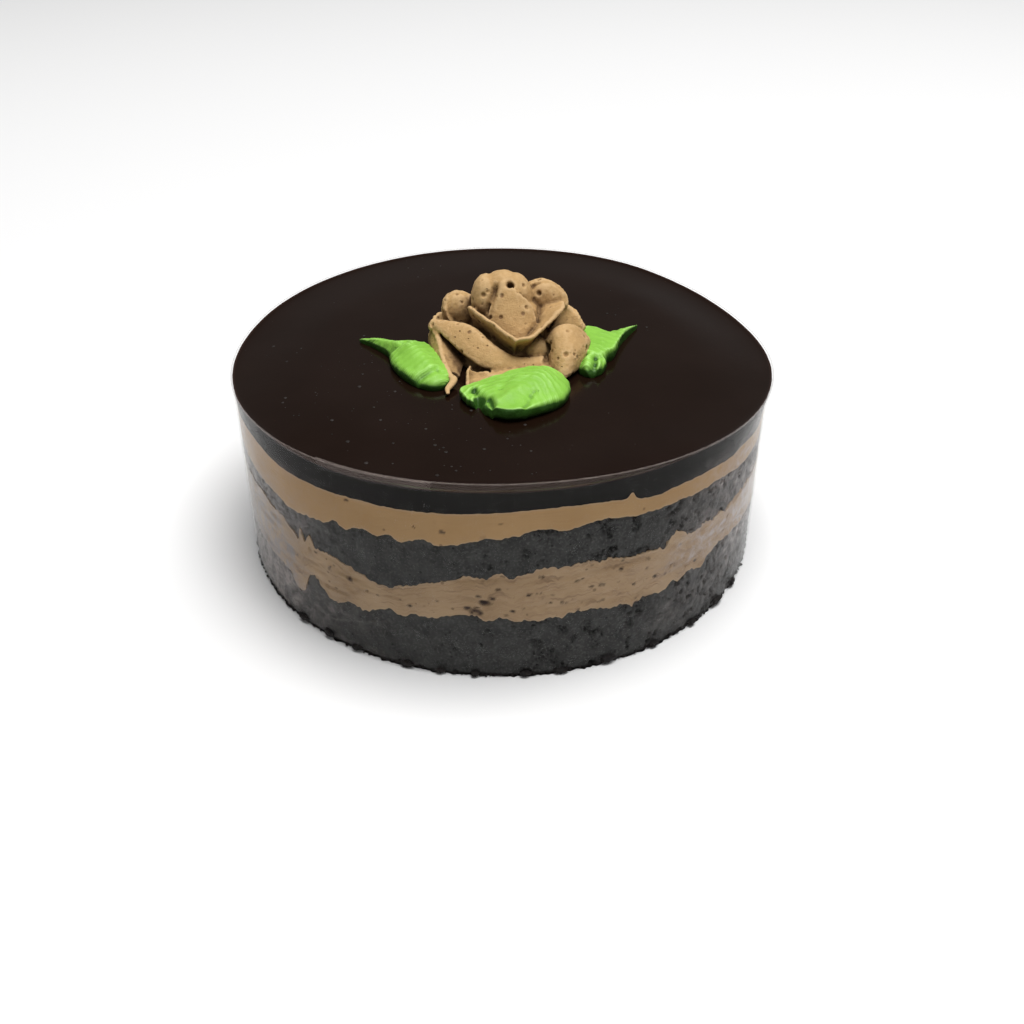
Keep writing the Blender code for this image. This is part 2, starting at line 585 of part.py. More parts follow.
def cut(target, cutter):
    """Cut one solid out of another and keep the biggest body."""
    difference = target.modifiers.new("clearance", "BOOLEAN")
    difference.operation = "DIFFERENCE"
    difference.object = cutter
    difference.solver = "EXACT"
    difference.use_self = True
    left = bpy.data.meshes.new_from_object(target.evaluated_get(bpy.context.evaluated_depsgraph_get()))
    target.modifiers.clear()
    target.data = left
    keep_biggest_body(left)
    left.shade_smooth()
    left.set_sharp_from_angle(angle=math.radians(50.0))


def rose(finish):
    """The heart, the folds and all the petals fused into one body."""
    rings = [(radius, radius, height) for radius, height in ROSE_HEART]
    heart = turned_solid("rose", rings, ROSE_CENTRE, finish, HEART_SEGMENTS)
    bunch = bpy.data.collections.new("petals")
    bpy.context.scene.collection.children.link(bunch)
    sheets = [petal_solid(name, petal, finish) for name, petal in PETALS.items()]
    sheets += [lobe_solid(name, centre, half, finish) for name, (centre, half) in LOBES.items()]
    for sheet in [*sheets, strand_solid(finish)]:
        bpy.context.scene.collection.objects.unlink(sheet)
        bunch.objects.link(sheet)
    union = heart.modifiers.new("fuse petals", "BOOLEAN")
    union.operation = "UNION"
    union.operand_type = "COLLECTION"
    union.collection = bunch
    union.solver = "EXACT"
    fused = bpy.data.meshes.new_from_object(heart.evaluated_get(bpy.context.evaluated_depsgraph_get()))
    heart.modifiers.clear()
    heart.data = fused
    for sheet in list(bunch.objects):
        bpy.data.objects.remove(sheet)
    bpy.data.collections.remove(bunch)
    keep_biggest_body(fused)
    fused.shade_smooth()
    fused.set_sharp_from_angle(angle=math.radians(50.0))
    return heart


# ---- the leaves -----------------------------------------------------------------
def along_loop(knots, share):
    """Smooth closed curve through evenly counted knots, read at a share from 0 to 1."""
    count = len(knots)
    index = int(share * count) % count
    t = share * count - int(share * count)
    near = [knots[(index + k) % count] for k in (-1, 0, 1, 2)]
    return [0.5 * (2 * b + (c - a) * t + (2 * a - 5 * b + 4 * c - d) * t * t
                   + (3 * b - a - 3 * c + d) * t ** 3) for a, b, c, d in zip(*near)]


def nearest_on_spine(spine, x, y):
    best = None
    for (x0, y0, h0), (x1, y1, h1) in zip(spine, spine[1:]):
        run_x, run_y = x1 - x0, y1 - y0
        t = ((x - x0) * run_x + (y - y0) * run_y) / (run_x ** 2 + run_y ** 2)
        t = min(1.0, max(0.0, t))
        at = (x0 + run_x * t, y0 + run_y * t, h0 + (h1 - h0) * t)
        distance = math.hypot(x - at[0], y - at[1])
        if best is None or distance < best[0]:
            best = (distance, at)
    return best[1]


def leaf_relief(shape, x, y):
    """Ridges left by the piping tip, and creases between the folds, in mm."""
    centre_x, centre_y, pitch, depth = shape["arcs"]
    relief = depth * math.cos(math.tau * math.hypot(x - centre_x, y - centre_y) / pitch)
    for x0, y0, x1, y1, deep, half_width in shape["creases"]:
        run_x, run_y = x1 - x0, y1 - y0
        t = ((x - x0) * run_x + (y - y0) * run_y) / (run_x ** 2 + run_y ** 2)
        t = min(1.0, max(0.0, t))
        away = math.hypot(x - x0 - run_x * t, y - y0 - run_y * t) / half_width
        relief -= deep * math.exp(-away * away)
    return relief


def leaf(name, shape, finish):
    """A piped leaf: steep sides on a measured outline, a crowned top, ridges and creases."""
    floor = GANACHE_TOP + CLEARANCE
    count = LEAF_POINTS
    tucked, edge, tops = [], [], [[] for _ in range(4)]
    for k in range(count):
        x, y, side, turn_in, tuck = along_loop(shape["outline"], k / count)
        shares = (0.4 * turn_in, turn_in, turn_in + 0.4 * (0.84 - turn_in), 0.84)
        in_x, in_y, crown = nearest_on_spine(shape["spine"], x, y)

        def place(share, height):
            return Vector(((x + (in_x - x) * share) * MM, (y + (in_y - y) * share) * MM,
                           floor + height * MM))

        tucked.append(place(tuck, 0.0))
        edge.append(place(0.0, 0.45 * side))
        for ring, share in zip(tops, shares):
            turn = 0.45 + 0.55 * math.sqrt(1.0 - (1.0 - min(share / turn_in, 1.0)) ** 2)
            height = side * turn + (crown - side) * smooth_step(share)
            spot = place(share, 0.0)
            relief = leaf_relief(shape, spot.x / MM, spot.y / MM) * min(1.0, 3.0 * share)
            ring.append(place(share, max(height + relief, 0.5)))
    rings = [tucked, edge, *tops]
    points = [point for ring in rings for point in ring]
    faces = [tuple(reversed(range(count)))]
    for row in range(len(rings) - 1):
        for k in range(count):
            a, b = row * count + k, row * count + (k + 1) % count
            faces.append((a, b, b + count, a + count))
    faces.append(tuple((len(rings) - 1) * count + k for k in range(count)))
    return solid(name, points, faces, finish)


def main():
    for old in list(bpy.data.objects):
        bpy.data.objects.remove(old)
    sponge = material("dark_sponge", (0.012, 0.009, 0.008), 0.95)
    cream = material("cocoa_cream", (0.30, 0.20, 0.125), 0.6)
    glaze = material("ganache_glaze", (0.016, 0.009, 0.007), 0.12)
    butter = material("mocha_buttercream", (0.50, 0.31, 0.15), 0.6)
    green = material("green_icing", (0.20, 0.52, 0.06), 0.4)
    clear = material("clear_film", (0.9, 0.9, 0.9), 0.08, alpha=0.25)

    lower_top = seam(CREAM_LOWER_SEAM, 1)
    sponge_base = seam(SPONGE_UPPER_SEAM, 2)
    sponge_top = seam(CREAM_UPPER_SEAM, 3, combed=True)
    cream_top = seam(GANACHE_SEAM, 4)

    layer("sponge_lower", flat_foot, lower_top, sponge, ragged=True)
    layer("cream_lower", lower_top, sponge_base, cream)
    layer("sponge_upper", sponge_base, sponge_top, sponge)
    layer("cream_upper", sponge_top, cream_top, cream)
    layer("ganache", cream_top, poured_top, glaze)
    film_strip(clear)
    flower = rose(butter)
    hollow = grown_copy(flower, 1.2 * CLEARANCE)
    for name, shape in LEAVES.items():
        cut(leaf(name, shape, green), hollow)
    bpy.data.objects.remove(hollow)


main()
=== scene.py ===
"""A six-inch dark chocolate layer cake with a piped rose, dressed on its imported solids."""

import math

import bmesh
import bpy
import numpy as np
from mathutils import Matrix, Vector
from mathutils.bvhtree import BVHTree


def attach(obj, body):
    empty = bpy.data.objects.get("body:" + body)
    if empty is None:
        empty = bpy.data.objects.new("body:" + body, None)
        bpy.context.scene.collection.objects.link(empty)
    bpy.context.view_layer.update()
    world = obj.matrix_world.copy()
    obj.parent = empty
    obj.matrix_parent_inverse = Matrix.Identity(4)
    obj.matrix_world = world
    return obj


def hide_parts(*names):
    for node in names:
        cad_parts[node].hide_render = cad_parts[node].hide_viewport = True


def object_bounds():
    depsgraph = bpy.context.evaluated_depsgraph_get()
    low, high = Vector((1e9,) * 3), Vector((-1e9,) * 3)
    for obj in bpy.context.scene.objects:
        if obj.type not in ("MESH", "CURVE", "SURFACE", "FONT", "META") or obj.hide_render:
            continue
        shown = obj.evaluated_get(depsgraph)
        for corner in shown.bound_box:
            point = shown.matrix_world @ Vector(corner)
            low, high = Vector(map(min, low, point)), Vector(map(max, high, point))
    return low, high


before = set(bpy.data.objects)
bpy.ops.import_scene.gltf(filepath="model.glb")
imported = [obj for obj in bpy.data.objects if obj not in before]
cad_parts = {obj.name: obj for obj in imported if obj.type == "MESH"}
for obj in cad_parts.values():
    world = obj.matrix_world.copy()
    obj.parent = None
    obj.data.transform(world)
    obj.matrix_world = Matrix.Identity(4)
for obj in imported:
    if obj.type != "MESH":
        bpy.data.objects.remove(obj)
CAD_BOX = [list(map(float, corner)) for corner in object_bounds()]

MM = 0.001
CAKE_RADIUS = 75.6 * MM          # sponge, cream and ganache
HUB_RADIUS = 0.9 * CAKE_RADIUS   # ring where a layer's face turns in to its middle
COLUMNS = 1440                   # points round a layer
AROUND = np.arange(COLUMNS) * 360.0 / COLUMNS - 180.0
LEVEL = 57.5 * MM                # poured ganache in the middle
RISE_FROM = 52 * MM              # radius where the poured top starts to rise to its edge
CREEP, CREEP_REACH = 0.45 * MM, 0.6 * MM  # how the glaze climbs the film
SUNK = 0.4 * MM                  # how deep the rose sits in the poured top
FILM_INSIDE = 75.88 * MM
FILM_WALL = 0.3 * MM
LAP_GAP = 0.2 * MM               # between the film's outer end and the turn under it
LAP_FROM, LAP_TO = -36.0, -12.0  # degrees where the film lies over its own start
LAP_FOOT = 0.3 * MM              # lower edge of the outer end, which sags
LAP_CLIMB = (-26.0, -4.0)        # degrees from the lap where the strip climbs on to itself
LAP_SAG = (-10.0, 4.0)           # degrees from the lap where its lower edge sags
BARE_BELOW = 1.25 * MM           # the sponge's foot shows bare under the film's edge
BARE_BLEND = 0.6 * MM
MAP_HEIGHT = 0.015               # height of every layer's side on its own map
BACK = -179.6                    # degrees; what lies behind it ends the map at the right
ROSE_SKIN, LEAF_SKIN = (0.36, 0.6), (0.24, 0.4)  # mm between a skin's points, and in a draft

# Above this height the film and the poured top lean outwards: the lean at the film's upper
# edge is the mean, plus its swing to the right, less its swing to the front.
LEAN_FROM = 50.0 * MM
LEAN_MEAN, LEAN_RIGHT, LEAN_FRONT = 0.95 * MM, 0.43 * MM, 0.5 * MM

# Heights in mm of the seams and rims at angles in degrees from the front, right positive.
POURED_EDGE = ((-80, 56.1), (-68, 56.7), (-50, 57.3), (-40, 57.1), (-30, 57.1), (-20, 57.6),
               (-10, 57.9), (0, 58.3), (20, 58.6), (40, 58.8), (50, 58.2), (66, 57.1), (82, 55.8),
               (98, 54.5), (114, 54.2), (130, 55.1), (150, 56.7), (178, 57.2), (210, 57.2),
               (242, 56.6), (258, 56.0), (266, 55.9))
FILM_RIM = ((-80, 56.6), (-68, 57.4), (-50, 58.5), (-30, 59.5), (-10, 60.5), (10, 60.9),
            (30, 60.2), (50, 58.9), (66, 57.7), (82, 56.3), (98, 54.9), (114, 54.6), (130, 55.5),
            (150, 57.1), (178, 57.6), (210, 57.6), (242, 57.0), (258, 56.4), (266, 56.3))
GANACHE_SEAM = ((-60, 51.2), (-50, 49.6), (-45, 49.4), (-40, 49.5), (-35, 49.7), (-30, 50.1),
                (-20, 50.5), (-10, 51.1), (-5, 51.6), (0, 52.1), (8, 52.9), (16, 52.7), (20, 52.4),
                (24.2, 51.9), (25.2, 53.3), (26.4, 51.2), (31, 50.1), (35, 50.5), (45, 50.3),
                (53, 49.5), (57, 49.9), (68, 48.6), (110, 50.4), (160, 51.0), (220, 49.8),
                (270, 50.6))
CREAM_UPPER_SEAM = ((-60, 40.1), (-55, 39.5), (-50, 38.8), (-47, 37.8), (-43, 38.0), (-40, 38.8),
                    (-37, 39.1), (-35, 39.9), (-33.5, 41.2), (-31, 39.8), (-28.5, 41.4),
                    (-27, 41.8), (-25, 41.1), (-23.5, 40.9), (-21, 42.1), (-19, 40.7),
                    (-16, 42.0), (-14, 42.6),
                    (-12, 41.6), (-8.5, 41.9), (-6, 43.2), (-4, 43.6), (-2, 44.6), (0, 44.4),
                    (3, 45.0), (5, 46.0), (8, 47.0), (10, 46.7), (12, 45.5), (14, 46.0), (17, 46.7),
                    (20, 47.2), (23, 46.7), (26, 46.1), (33, 45.5), (40, 45.6), (51, 45.0),
                    (54, 44.2), (60, 43.4), (110, 43.0), (160, 44.2), (220, 42.4), (270, 43.0))
SPONGE_UPPER_SEAM = ((-60, 34.9), (-55, 33.3), (-50, 32.6), (-48, 31.3), (-46, 30.0),
                     (-44.6, 29.0), (-43.7, 32.6), (-42.8, 29.6), (-41, 32.0), (-39.4, 29.2),
                     (-35, 28.9), (-30, 28.0), (-26, 26.2), (-24, 25.4), (-22, 25.7), (-18, 27.0),
                     (-14, 29.0), (-12, 30.0), (-10, 30.3), (-8, 32.0), (-5.5, 32.9), (-3, 32.3),
                     (-1, 33.3), (0, 33.6), (3, 32.7), (6, 34.2), (8, 35.4), (10, 34.8),
                     (17, 35.2), (19, 34.6), (24, 34.1), (27, 33.3), (31, 33.3), (34, 32.3),
                     (35.5, 35.3), (38, 35.4), (40, 33.6), (43, 32.9), (45, 34.1), (48, 32.7),
                     (50, 33.6), (53, 32.3), (55, 33.3), (58, 33.9), (110, 32.6), (160, 33.8),
                     (220, 32.0), (270, 33.6))
CREAM_LOWER_SEAM = ((-60, 16.5), (-50, 15.0), (-48, 12.6), (-46.5, 10.4), (-44.6, 12.4),
                    (-43, 16.9), (-42, 18.4), (-40, 18.5), (-37.5, 15.3), (-35, 14.3), (-31, 16.3),
                    (-28, 15.3), (-25.5, 16.6), (-22, 18.4), (-20, 17.4), (-19, 16.9), (-17, 18.7),
                    (-14, 18.2), (-11, 18.9), (-9, 19.7), (-5, 20.4), (-3, 18.9), (0, 19.5),
                    (3, 18.5), (6, 18.9), (8, 18.4), (9.5, 19.3), (12, 18.7), (13.5, 19.9),
                    (17, 20.0), (20, 19.2), (26, 18.2), (27, 17.4), (30, 18.7), (35, 18.4),
                    (36.5, 20.7), (39, 18.9), (41, 20.8), (43, 20.2), (45, 19.5), (48, 22.1),
                    (53, 23.1), (60, 22.0), (66, 20.6), (110, 19.0), (160, 20.4), (220, 18.2),
                    (270, 19.6))
FILM_FOOT = ((-60, 2.7), (-42, 2.2), (-36, 2.1), (-20, 2.1), (0, 2.3), (26, 2.3), (31, 1.1),
             (60, 0.9), (120, 1.8), (200, 2.3), (260, 2.6))


# ---- numbers round the cake -------------------------------------------------------
def around(knots, angles):
    """Smooth closed curve through (degrees, mm) knots at many angles, in metres."""
    at = np.array([k[0] for k in knots], float)
    height = np.array([k[1] for k in knots], float)
    at = np.concatenate([at[-2:] - 360, at, at[:2] + 360])
    height = np.concatenate([height[-2:], height, height[:2]])
    angles = (np.asarray(angles, float) - knots[0][0]) % 360 + knots[0][0]
    i = np.clip(np.searchsorted(at, angles, side="right") - 1, 1, len(at) - 3)
    span = at[i + 1] - at[i]
    t = (angles - at[i]) / span
    rise_in = (height[i + 1] - height[i - 1]) / (at[i + 1] - at[i - 1]) * span
    rise_out = (height[i + 2] - height[i]) / (at[i + 2] - at[i]) * span
    made = ((2 * t ** 3 - 3 * t ** 2 + 1) * height[i] + (t ** 3 - 2 * t ** 2 + t) * rise_in
            + (3 * t ** 2 - 2 * t ** 3) * height[i + 1] + (t ** 3 - t ** 2) * rise_out)
    return made * MM


def ease(x):
    """Share from 0 to 1, slow at both ends."""
    x = np.clip(x, 0.0, 1.0)
    return x * x * (3 - 2 * x)


def lean(angle, height):
    """How far the side stands out beyond the straight wall, near the top."""
    turn = np.radians(angle)
    most = LEAN_MEAN + LEAN_RIGHT * np.sin(turn) - LEAN_FRONT * np.cos(turn)
    return most * np.clip((height - LEAN_FROM) / (around(FILM_RIM, angle) - LEAN_FROM), 0, None)


NOISE_HEIGHT = 90                # mm of the side that the noise covers
NOISE_FADE = 0.62                # each finer size of a torn line against the last


def wall_noise(angle, height, cell, seed, stretch=1.0):
    """Smooth seeded noise from -1 to 1 on the side; cell in mm, longer round by stretch."""
    turn = 2 * math.pi * CAKE_RADIUS / MM
    columns = max(4, round(turn / (cell * stretch)))
    rows = int(NOISE_HEIGHT / cell) + 4
    table = np.random.default_rng(seed).uniform(-1, 1, (rows, columns))
    u = (np.asarray(angle) % 360) / 360 * columns
    v = np.clip(np.asarray(height) / MM / cell + 1.5, 0, rows - 2)
    u, v = np.broadcast_arrays(u, v)
    iu, iv = np.floor(u).astype(int), np.floor(v).astype(int)
    fu, fv = ease(u - iu), ease(v - iv)
    low, high = (table[row, iu % columns] * (1 - fu) + table[row, (iu + 1) % columns] * fu
                 for row in (iv, iv + 1))
    return low * (1 - fv) + high * fv


def space_noise(points, cell, seed):
    """Smooth seeded noise from -1 to 1 at points in metres; cell in mm."""
    at = np.asarray(points) / (cell * MM)
    low = np.floor(at.min(0)).astype(int) - 1
    size = np.ceil(at.max(0)).astype(int) - low + 3
    table = np.random.default_rng(seed).uniform(-1, 1, tuple(size))
    at = at - low
    corner = np.floor(at).astype(int)
    f = ease(at - corner)
    x, y, z = corner.T
    made = np.zeros(len(at))
    for dx, dy, dz in np.ndindex(2, 2, 2):
        weight = (np.abs(1 - dx - f[:, 0]) * np.abs(1 - dy - f[:, 1])
                  * np.abs(1 - dz - f[:, 2]))
        made += weight * table[x + dx, y + dy, z + dz]
    return made


def smooth_step(a, b, c, d, t):
    """The smooth curve from b to c at share t, with a before them and d after."""
    return 0.5 * (2 * b + (c - a) * t + (2 * a - 5 * b + 4 * c - d) * t ** 2
                  + (3 * b - a - 3 * c + d) * t ** 3)


def through(values, x):
    """Smooth curve through evenly spaced values or points at many shares from 0 to 1."""
    values = np.asarray(values, float)
    padded = np.concatenate([[2 * values[0] - values[1]], values, [2 * values[-1] - values[-2]]])
    spans = len(values) - 1
    i = np.minimum((x * spans).astype(int), spans - 1)
    t = x * spans - i
    t = t[..., None] if values.ndim > 1 else t
    return smooth_step(*(padded[i + k] for k in range(4)), t)


def closed_curve(knots, count):
    """Smooth closed curve through evenly counted knots, sampled at count shares."""
    knots = np.asarray(knots, float)
    at = np.arange(count) / count * len(knots)
    i = at.astype(int)
    return smooth_step(*(knots[(i + k) % len(knots)] for k in (-1, 0, 1, 2)), (at - i)[:, None])


def nearest_on_line(stops, places):
    """For each place, the closest point of a broken line, with its other values."""
    best = np.full(len(places), np.inf)
    found = np.zeros((len(places), len(stops[0])))
    for start, end in zip(np.asarray(stops[:-1], float), np.asarray(stops[1:], float)):
        run = end[:2] - start[:2]
        t = np.clip(((places - start[:2]) @ run) / (run @ run), 0, 1)[:, None]
        at = start + (end - start) * t
        far = np.linalg.norm(places - at[:, :2], axis=1)
        closer = far < best
        best[closer] = far[closer]
        found[closer] = at[closer]
    return found, best


def unit(ways):
    """Directions brought to length one."""
    return ways / (np.linalg.norm(ways, axis=-1, keepdims=True) + 1e-12)


# ---- meshes -----------------------------------------------------------------------
def linked(name, data):
    """A new object in the scene."""
    holder = bpy.data.objects.new(name, data)
    bpy.context.scene.collection.objects.link(holder)
    return holder


def make_piece(name, points, faces, material, smooth=True):
    mesh = bpy.data.meshes.new(name)
    mesh.from_pydata(np.asarray(points).tolist(), [], faces)
    mesh.update()
    mesh.materials.append(material)
    if smooth:
        mesh.shade_smooth()
    return linked(name, mesh)


def outward(piece):
    """Turns every face of closed shapes to look out."""
    body = bmesh.new()
    body.from_mesh(piece.data)
    bmesh.ops.recalc_face_normals(body, faces=body.faces)
    body.to_mesh(piece.data)
    body.free()
    piece.data.update()


def on_side(radius, angle, height):
    """Points at a radius, an angle from the front and a height."""
    radius, turn, height = np.broadcast_arrays(radius, np.radians(angle), height)
    return np.stack([radius * np.sin(turn), -radius * np.cos(turn), height], -1)


def read(elements, key, width=3, kind=float):
    """One property of a mesh's points, edges or corners, a row each."""
    values = np.empty(len(elements) * width, kind)
    elements.foreach_get(key, values)
    return values.reshape(-1, width)


def mesh_points(mesh):
    return read(mesh.vertices, "co")


def mesh_normals(mesh):
    return read(mesh.vertex_normals, "vector")


def set_points(mesh, points):
    mesh.vertices.foreach_set("co", np.asarray(points, float).ravel())
    mesh.update()


def paint(mesh, name, values, first=0):
    """A number at each point of a mesh, for its material; points before first get none."""
    full = np.zeros(len(mesh.vertices), np.float32)
    full[first:first + np.size(values)] = np.ravel(values)
    mesh.attributes.new(name, "FLOAT", "POINT").data.foreach_set("value", full)


def sheet_faces(across, up):
    """Faces of a closed sheet: a grid of points across and up, one behind it, and a border."""
    faces = []
    behind = across * up
    for i in range(across - 1):
        for j in range(up - 1):
            a, b = i * up + j, (i + 1) * up + j
            faces.append((a, b, b + 1, a + 1))
            faces.append((behind + a + 1, behind + b + 1, behind + b, behind + a))
    border = ([i * up for i in range(across)]
              + [(across - 1) * up + j for j in range(1, up)]
              + [i * up + up - 1 for i in range(across - 2, -1, -1)]
              + list(range(up - 2, 0, -1)))
    for here, there in zip(border, border[1:] + border[:1]):
        faces.append((there, here, behind + here, behind + there))
    return faces


def band_faces(rows, sides):
    """Faces between rings that each have the same number of points."""
    return [(row * sides + k, row * sides + (k + 1) % sides,
             (row + 1) * sides + (k + 1) % sides, (row + 1) * sides + k)
            for row in range(rows - 1) for k in range(sides)]


def capped(rings):
    """A closed body from its rings, capped at both ends."""
    rings = np.asarray(rings)
    count, sides = rings.shape[:2]
    caps = [tuple(reversed(range(sides))), tuple(range((count - 1) * sides, count * sides))]
    return rings.reshape(-1, 3), caps[:1] + band_faces(count, sides) + caps[1:]


def ride_and_stand_for(piece, slot, *nodes):
    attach(piece, "root")
    if nodes:
        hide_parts(*nodes)
    return piece


def evaluated_copy(piece):
    """What a piece's modifiers make of it, as its own plain mesh."""
    view = bpy.context.evaluated_depsgraph_get()
    mesh = bpy.data.meshes.new_from_object(piece.evaluated_get(view), depsgraph=view)
    piece.modifiers.clear()
    old = piece.data
    piece.data = mesh
    bpy.data.meshes.remove(old)
    return piece


def fused(piece, skin, softness):
    """Overlapping closed shapes melted into one skin of even faces."""
    full, draft = skin
    remesh = piece.modifiers.new("melt", "REMESH")
    remesh.mode = "VOXEL"
    remesh.voxel_size = full * MM
    remesh.use_smooth_shade = True
    soften = piece.modifiers.new("soften", "SMOOTH")
    soften.factor = 0.5
    soften.iterations = softness
    return evaluated_copy(piece)


# ---- shader groups ----------------------------------------------------------------
class Nodes:
    """Short hand for wiring a node tree."""

    def __init__(self, tree):
        self.tree = tree

    def give(self, node, values):
        """Sets a node's inputs, named or counted, to numbers, colours or what nodes put out."""
        for key, value in values.items():
            socket = node.inputs[key]
            if isinstance(value, bpy.types.Node):
                value = value.outputs[0]
            if isinstance(value, bpy.types.NodeSocket):
                self.tree.links.new(value, socket)
            elif socket.type == "RGBA":
                socket.default_value = (*value, 1.0)
            elif value is not None:
                socket.default_value = value

    def add(self, kind, values=(), **settings):
        """A new node with its settings and what its inputs are given."""
        node = self.tree.nodes.new(kind)
        for key, value in settings.items():
            setattr(node, key, value)
        self.give(node, dict(values))
        return node

    def noise(self, vector, scale, detail=3.0, roughness=0.55, distortion=0.0):
        return self.add("ShaderNodeTexNoise", {
            "Vector": vector, "Scale": scale, "Detail": detail, "Roughness": roughness,
            "Distortion": distortion}).outputs["Fac"]

    def spread(self, value, low, high, to_low=0.0, to_high=1.0):
        return self.add("ShaderNodeMapRange", {
            "Value": value, "From Min": low, "From Max": high, "To Min": to_low,
            "To Max": to_high}).outputs["Result"]

    def calc(self, operation, a, b=None):
        return self.add("ShaderNodeMath", {0: a, 1: b}, operation=operation).outputs[0]

    def times(self, a, b):
        return self.calc("MULTIPLY", a, b)

    def plus(self, a, b):
        return self.calc("ADD", a, b)

    def less_than_whole(self, value):
        return self.calc("SUBTRACT", 1.0, value)

    def mix(self, amount, a, b):
        return self.add("ShaderNodeMix", {0: amount, 6: a, 7: b}, data_type="RGBA").outputs[2]

    def tint(self, color, mask, share, other):
        """A colour turned by a share towards another one where a mask says."""
        return self.mix(self.times(mask, share), color, other)

    def shade(self, color, value, low, high, share, other):
        """A colour turned by a share towards another one as a value goes from low to high."""
        return self.mix(self.spread(value, low, high, 0.0, share), color, other)

    def attribute(self, name):
        return self.add("ShaderNodeAttribute", attribute_name=name).outputs["Fac"]

    def place(self):
        return self.add("ShaderNodeTexCoord").outputs["Object"]

    def group(self, tree, **values):
        return self.add("ShaderNodeGroup", values, node_tree=tree).outputs

    def bump(self, height, distance, strength):
        return self.add("ShaderNodeBump", {
            "Height": height, "Distance": distance, "Strength": strength}).outputs["Normal"]

    def surface(self, color, roughness, **values):
        """Gives the material's own shader its finish."""
        named = {key.replace("_", " "): value for key, value in values.items()}
        self.give(self.tree.nodes["Principled BSDF"],
                  {"Base Color": color, "Roughness": roughness, **named})


def new_group(name, takes, puts_out):
    """A shader group whose inputs and outputs are numbers, apart from Vector."""
    tree = bpy.data.node_groups.new(name, "ShaderNodeTree")
    for labels, way in ((takes, "INPUT"), (puts_out, "OUTPUT")):
        for label in labels:
            kind = "NodeSocketVector" if label == "Vector" else "NodeSocketFloat"
            tree.interface.new_socket(label, in_out=way, socket_type=kind)
    n = Nodes(tree)
    return tree, n, n.add("NodeGroupInput").outputs, n.add("NodeGroupOutput")


def air_pits_group():
    """Small round air holes: a mask of the holes and a height that drops into them."""
    tree, n, given, result = new_group("air_pits", ("Vector", "Scale", "Share"),
                                       ("Mask", "Height"))
    cells = n.add("ShaderNodeTexVoronoi", {"Vector": given["Vector"], "Scale": given["Scale"]},
                  feature="F1").outputs
    sizes = n.add("ShaderNodeSeparateColor", {0: cells["Color"]}).outputs
    chosen = n.calc("LESS_THAN", sizes[0], given["Share"])
    radius = n.spread(sizes[1], 0.0, 1.0, 0.10, 0.30)
    inside = n.less_than_whole(n.calc("DIVIDE", cells["Distance"], radius))
    hole = n.times(n.calc("MAXIMUM", inside, 0.0), chosen)
    # the Mask carries painted shade into the pits; the Height sinks them
    n.give(result, {"Mask": n.spread(hole, 0.0, 0.45), "Height": n.times(hole, -1.0)})
    return tree


def handmade_group():
    """Slight unevenness in tone and surface at two sizes."""
    tree, n, given, result = new_group("handmade_unevenness", ("Vector", "Size"),
                                       ("Tone", "Height"))
    broad, fine = (n.noise(given["Vector"], n.times(given["Size"], times), 4.0, 0.5)
                   for times in (1.0, 6.0))
    n.give(result, {"Tone": n.spread(broad, 0.3, 0.7),
                    "Height": n.plus(broad, n.times(fine, 0.35))})
    return tree


# ---- materials --------------------------------------------------------------------
# Colours of each finish, by what they stand for. Scales of noise are in cells a metre.
# Smears on the film, and a painted reflection of the film towards the left and right.
SMEAR_AND_REFLECTION = dict(lilac=(0.44, 0.390, 0.375), brown=(0.195, 0.172, 0.162))
# Sponge: the pit and hole colours are painted shade in its holes.
SPONGE = dict(dark=(0.0275, 0.0275, 0.0265), light=(0.0480, 0.0480, 0.0465),
              grain=(0.086, 0.084, 0.080), pit_shade=(0.006, 0.005, 0.005),
              seam=(0.052, 0.040, 0.032), hole=(0.0060, 0.0056, 0.0056),
              bare=(0.0030, 0.0022, 0.0020))
CRUMB = dict(dark=(0.0035, 0.0024, 0.0022), light=(0.0120, 0.0080, 0.0066))
# Cream: the pit colour is painted shade in its air pits.
CREAM = dict(pale=(0.34, 0.245, 0.155), brown=(0.120, 0.070, 0.048),
             line=(0.105, 0.045, 0.030), seam=(0.44, 0.330, 0.225),
             crumb=(0.030, 0.019, 0.016), pit_shade=(0.06, 0.035, 0.024))
CREAM_PLAIN = dict(light=(0.385, 0.242, 0.114), dark=(0.340, 0.208, 0.094), streaks=0.10)
CREAM_SPREAD = dict(light=(0.400, 0.280, 0.168), dark=(0.300, 0.200, 0.112), streaks=0.60)
GLAZE = dict(dark=(0.0092, 0.0040, 0.0022), light=(0.0116, 0.0054, 0.0034),
             thin=(0.034, 0.016, 0.012), pressed=(0.0150, 0.0142, 0.0134))
# Buttercream: the pit colours and the fold colour are painted shade, the ridge colour a painted
# highlight.
BUTTERCREAM = dict(dark=(0.450, 0.276, 0.116), light=(0.550, 0.342, 0.146),
                   grain=(0.680, 0.450, 0.210), small_pit_shade=(0.20, 0.095, 0.036),
                   large_pit_shade=(0.13, 0.060, 0.024), ridge=(0.720, 0.500, 0.270),
                   fold=(0.066, 0.031, 0.013))
# Green icing: the pit and fold colours are painted shade, the drag and ridge colours painted
# highlights.
GREEN = dict(dark=(0.225, 0.500, 0.056), light=(0.275, 0.580, 0.074),
             drag_highlight=(0.330, 0.660, 0.110), pit_shade=(0.10, 0.28, 0.03),
             ridge=(0.470, 0.830, 0.220), fold=(0.012, 0.060, 0.006))
FILM = dict(clear=(0.93, 0.93, 0.92), free=(0.86, 0.72, 0.66))
BUBBLE = dict(dark=(0.012, 0.0085, 0.0075), light=(0.034, 0.028, 0.026))
FLOOR = (0.88, 0.88, 0.88)


def new_material(name):
    material = bpy.data.materials.new(name)
    material.use_nodes = True
    return material, Nodes(material.node_tree)


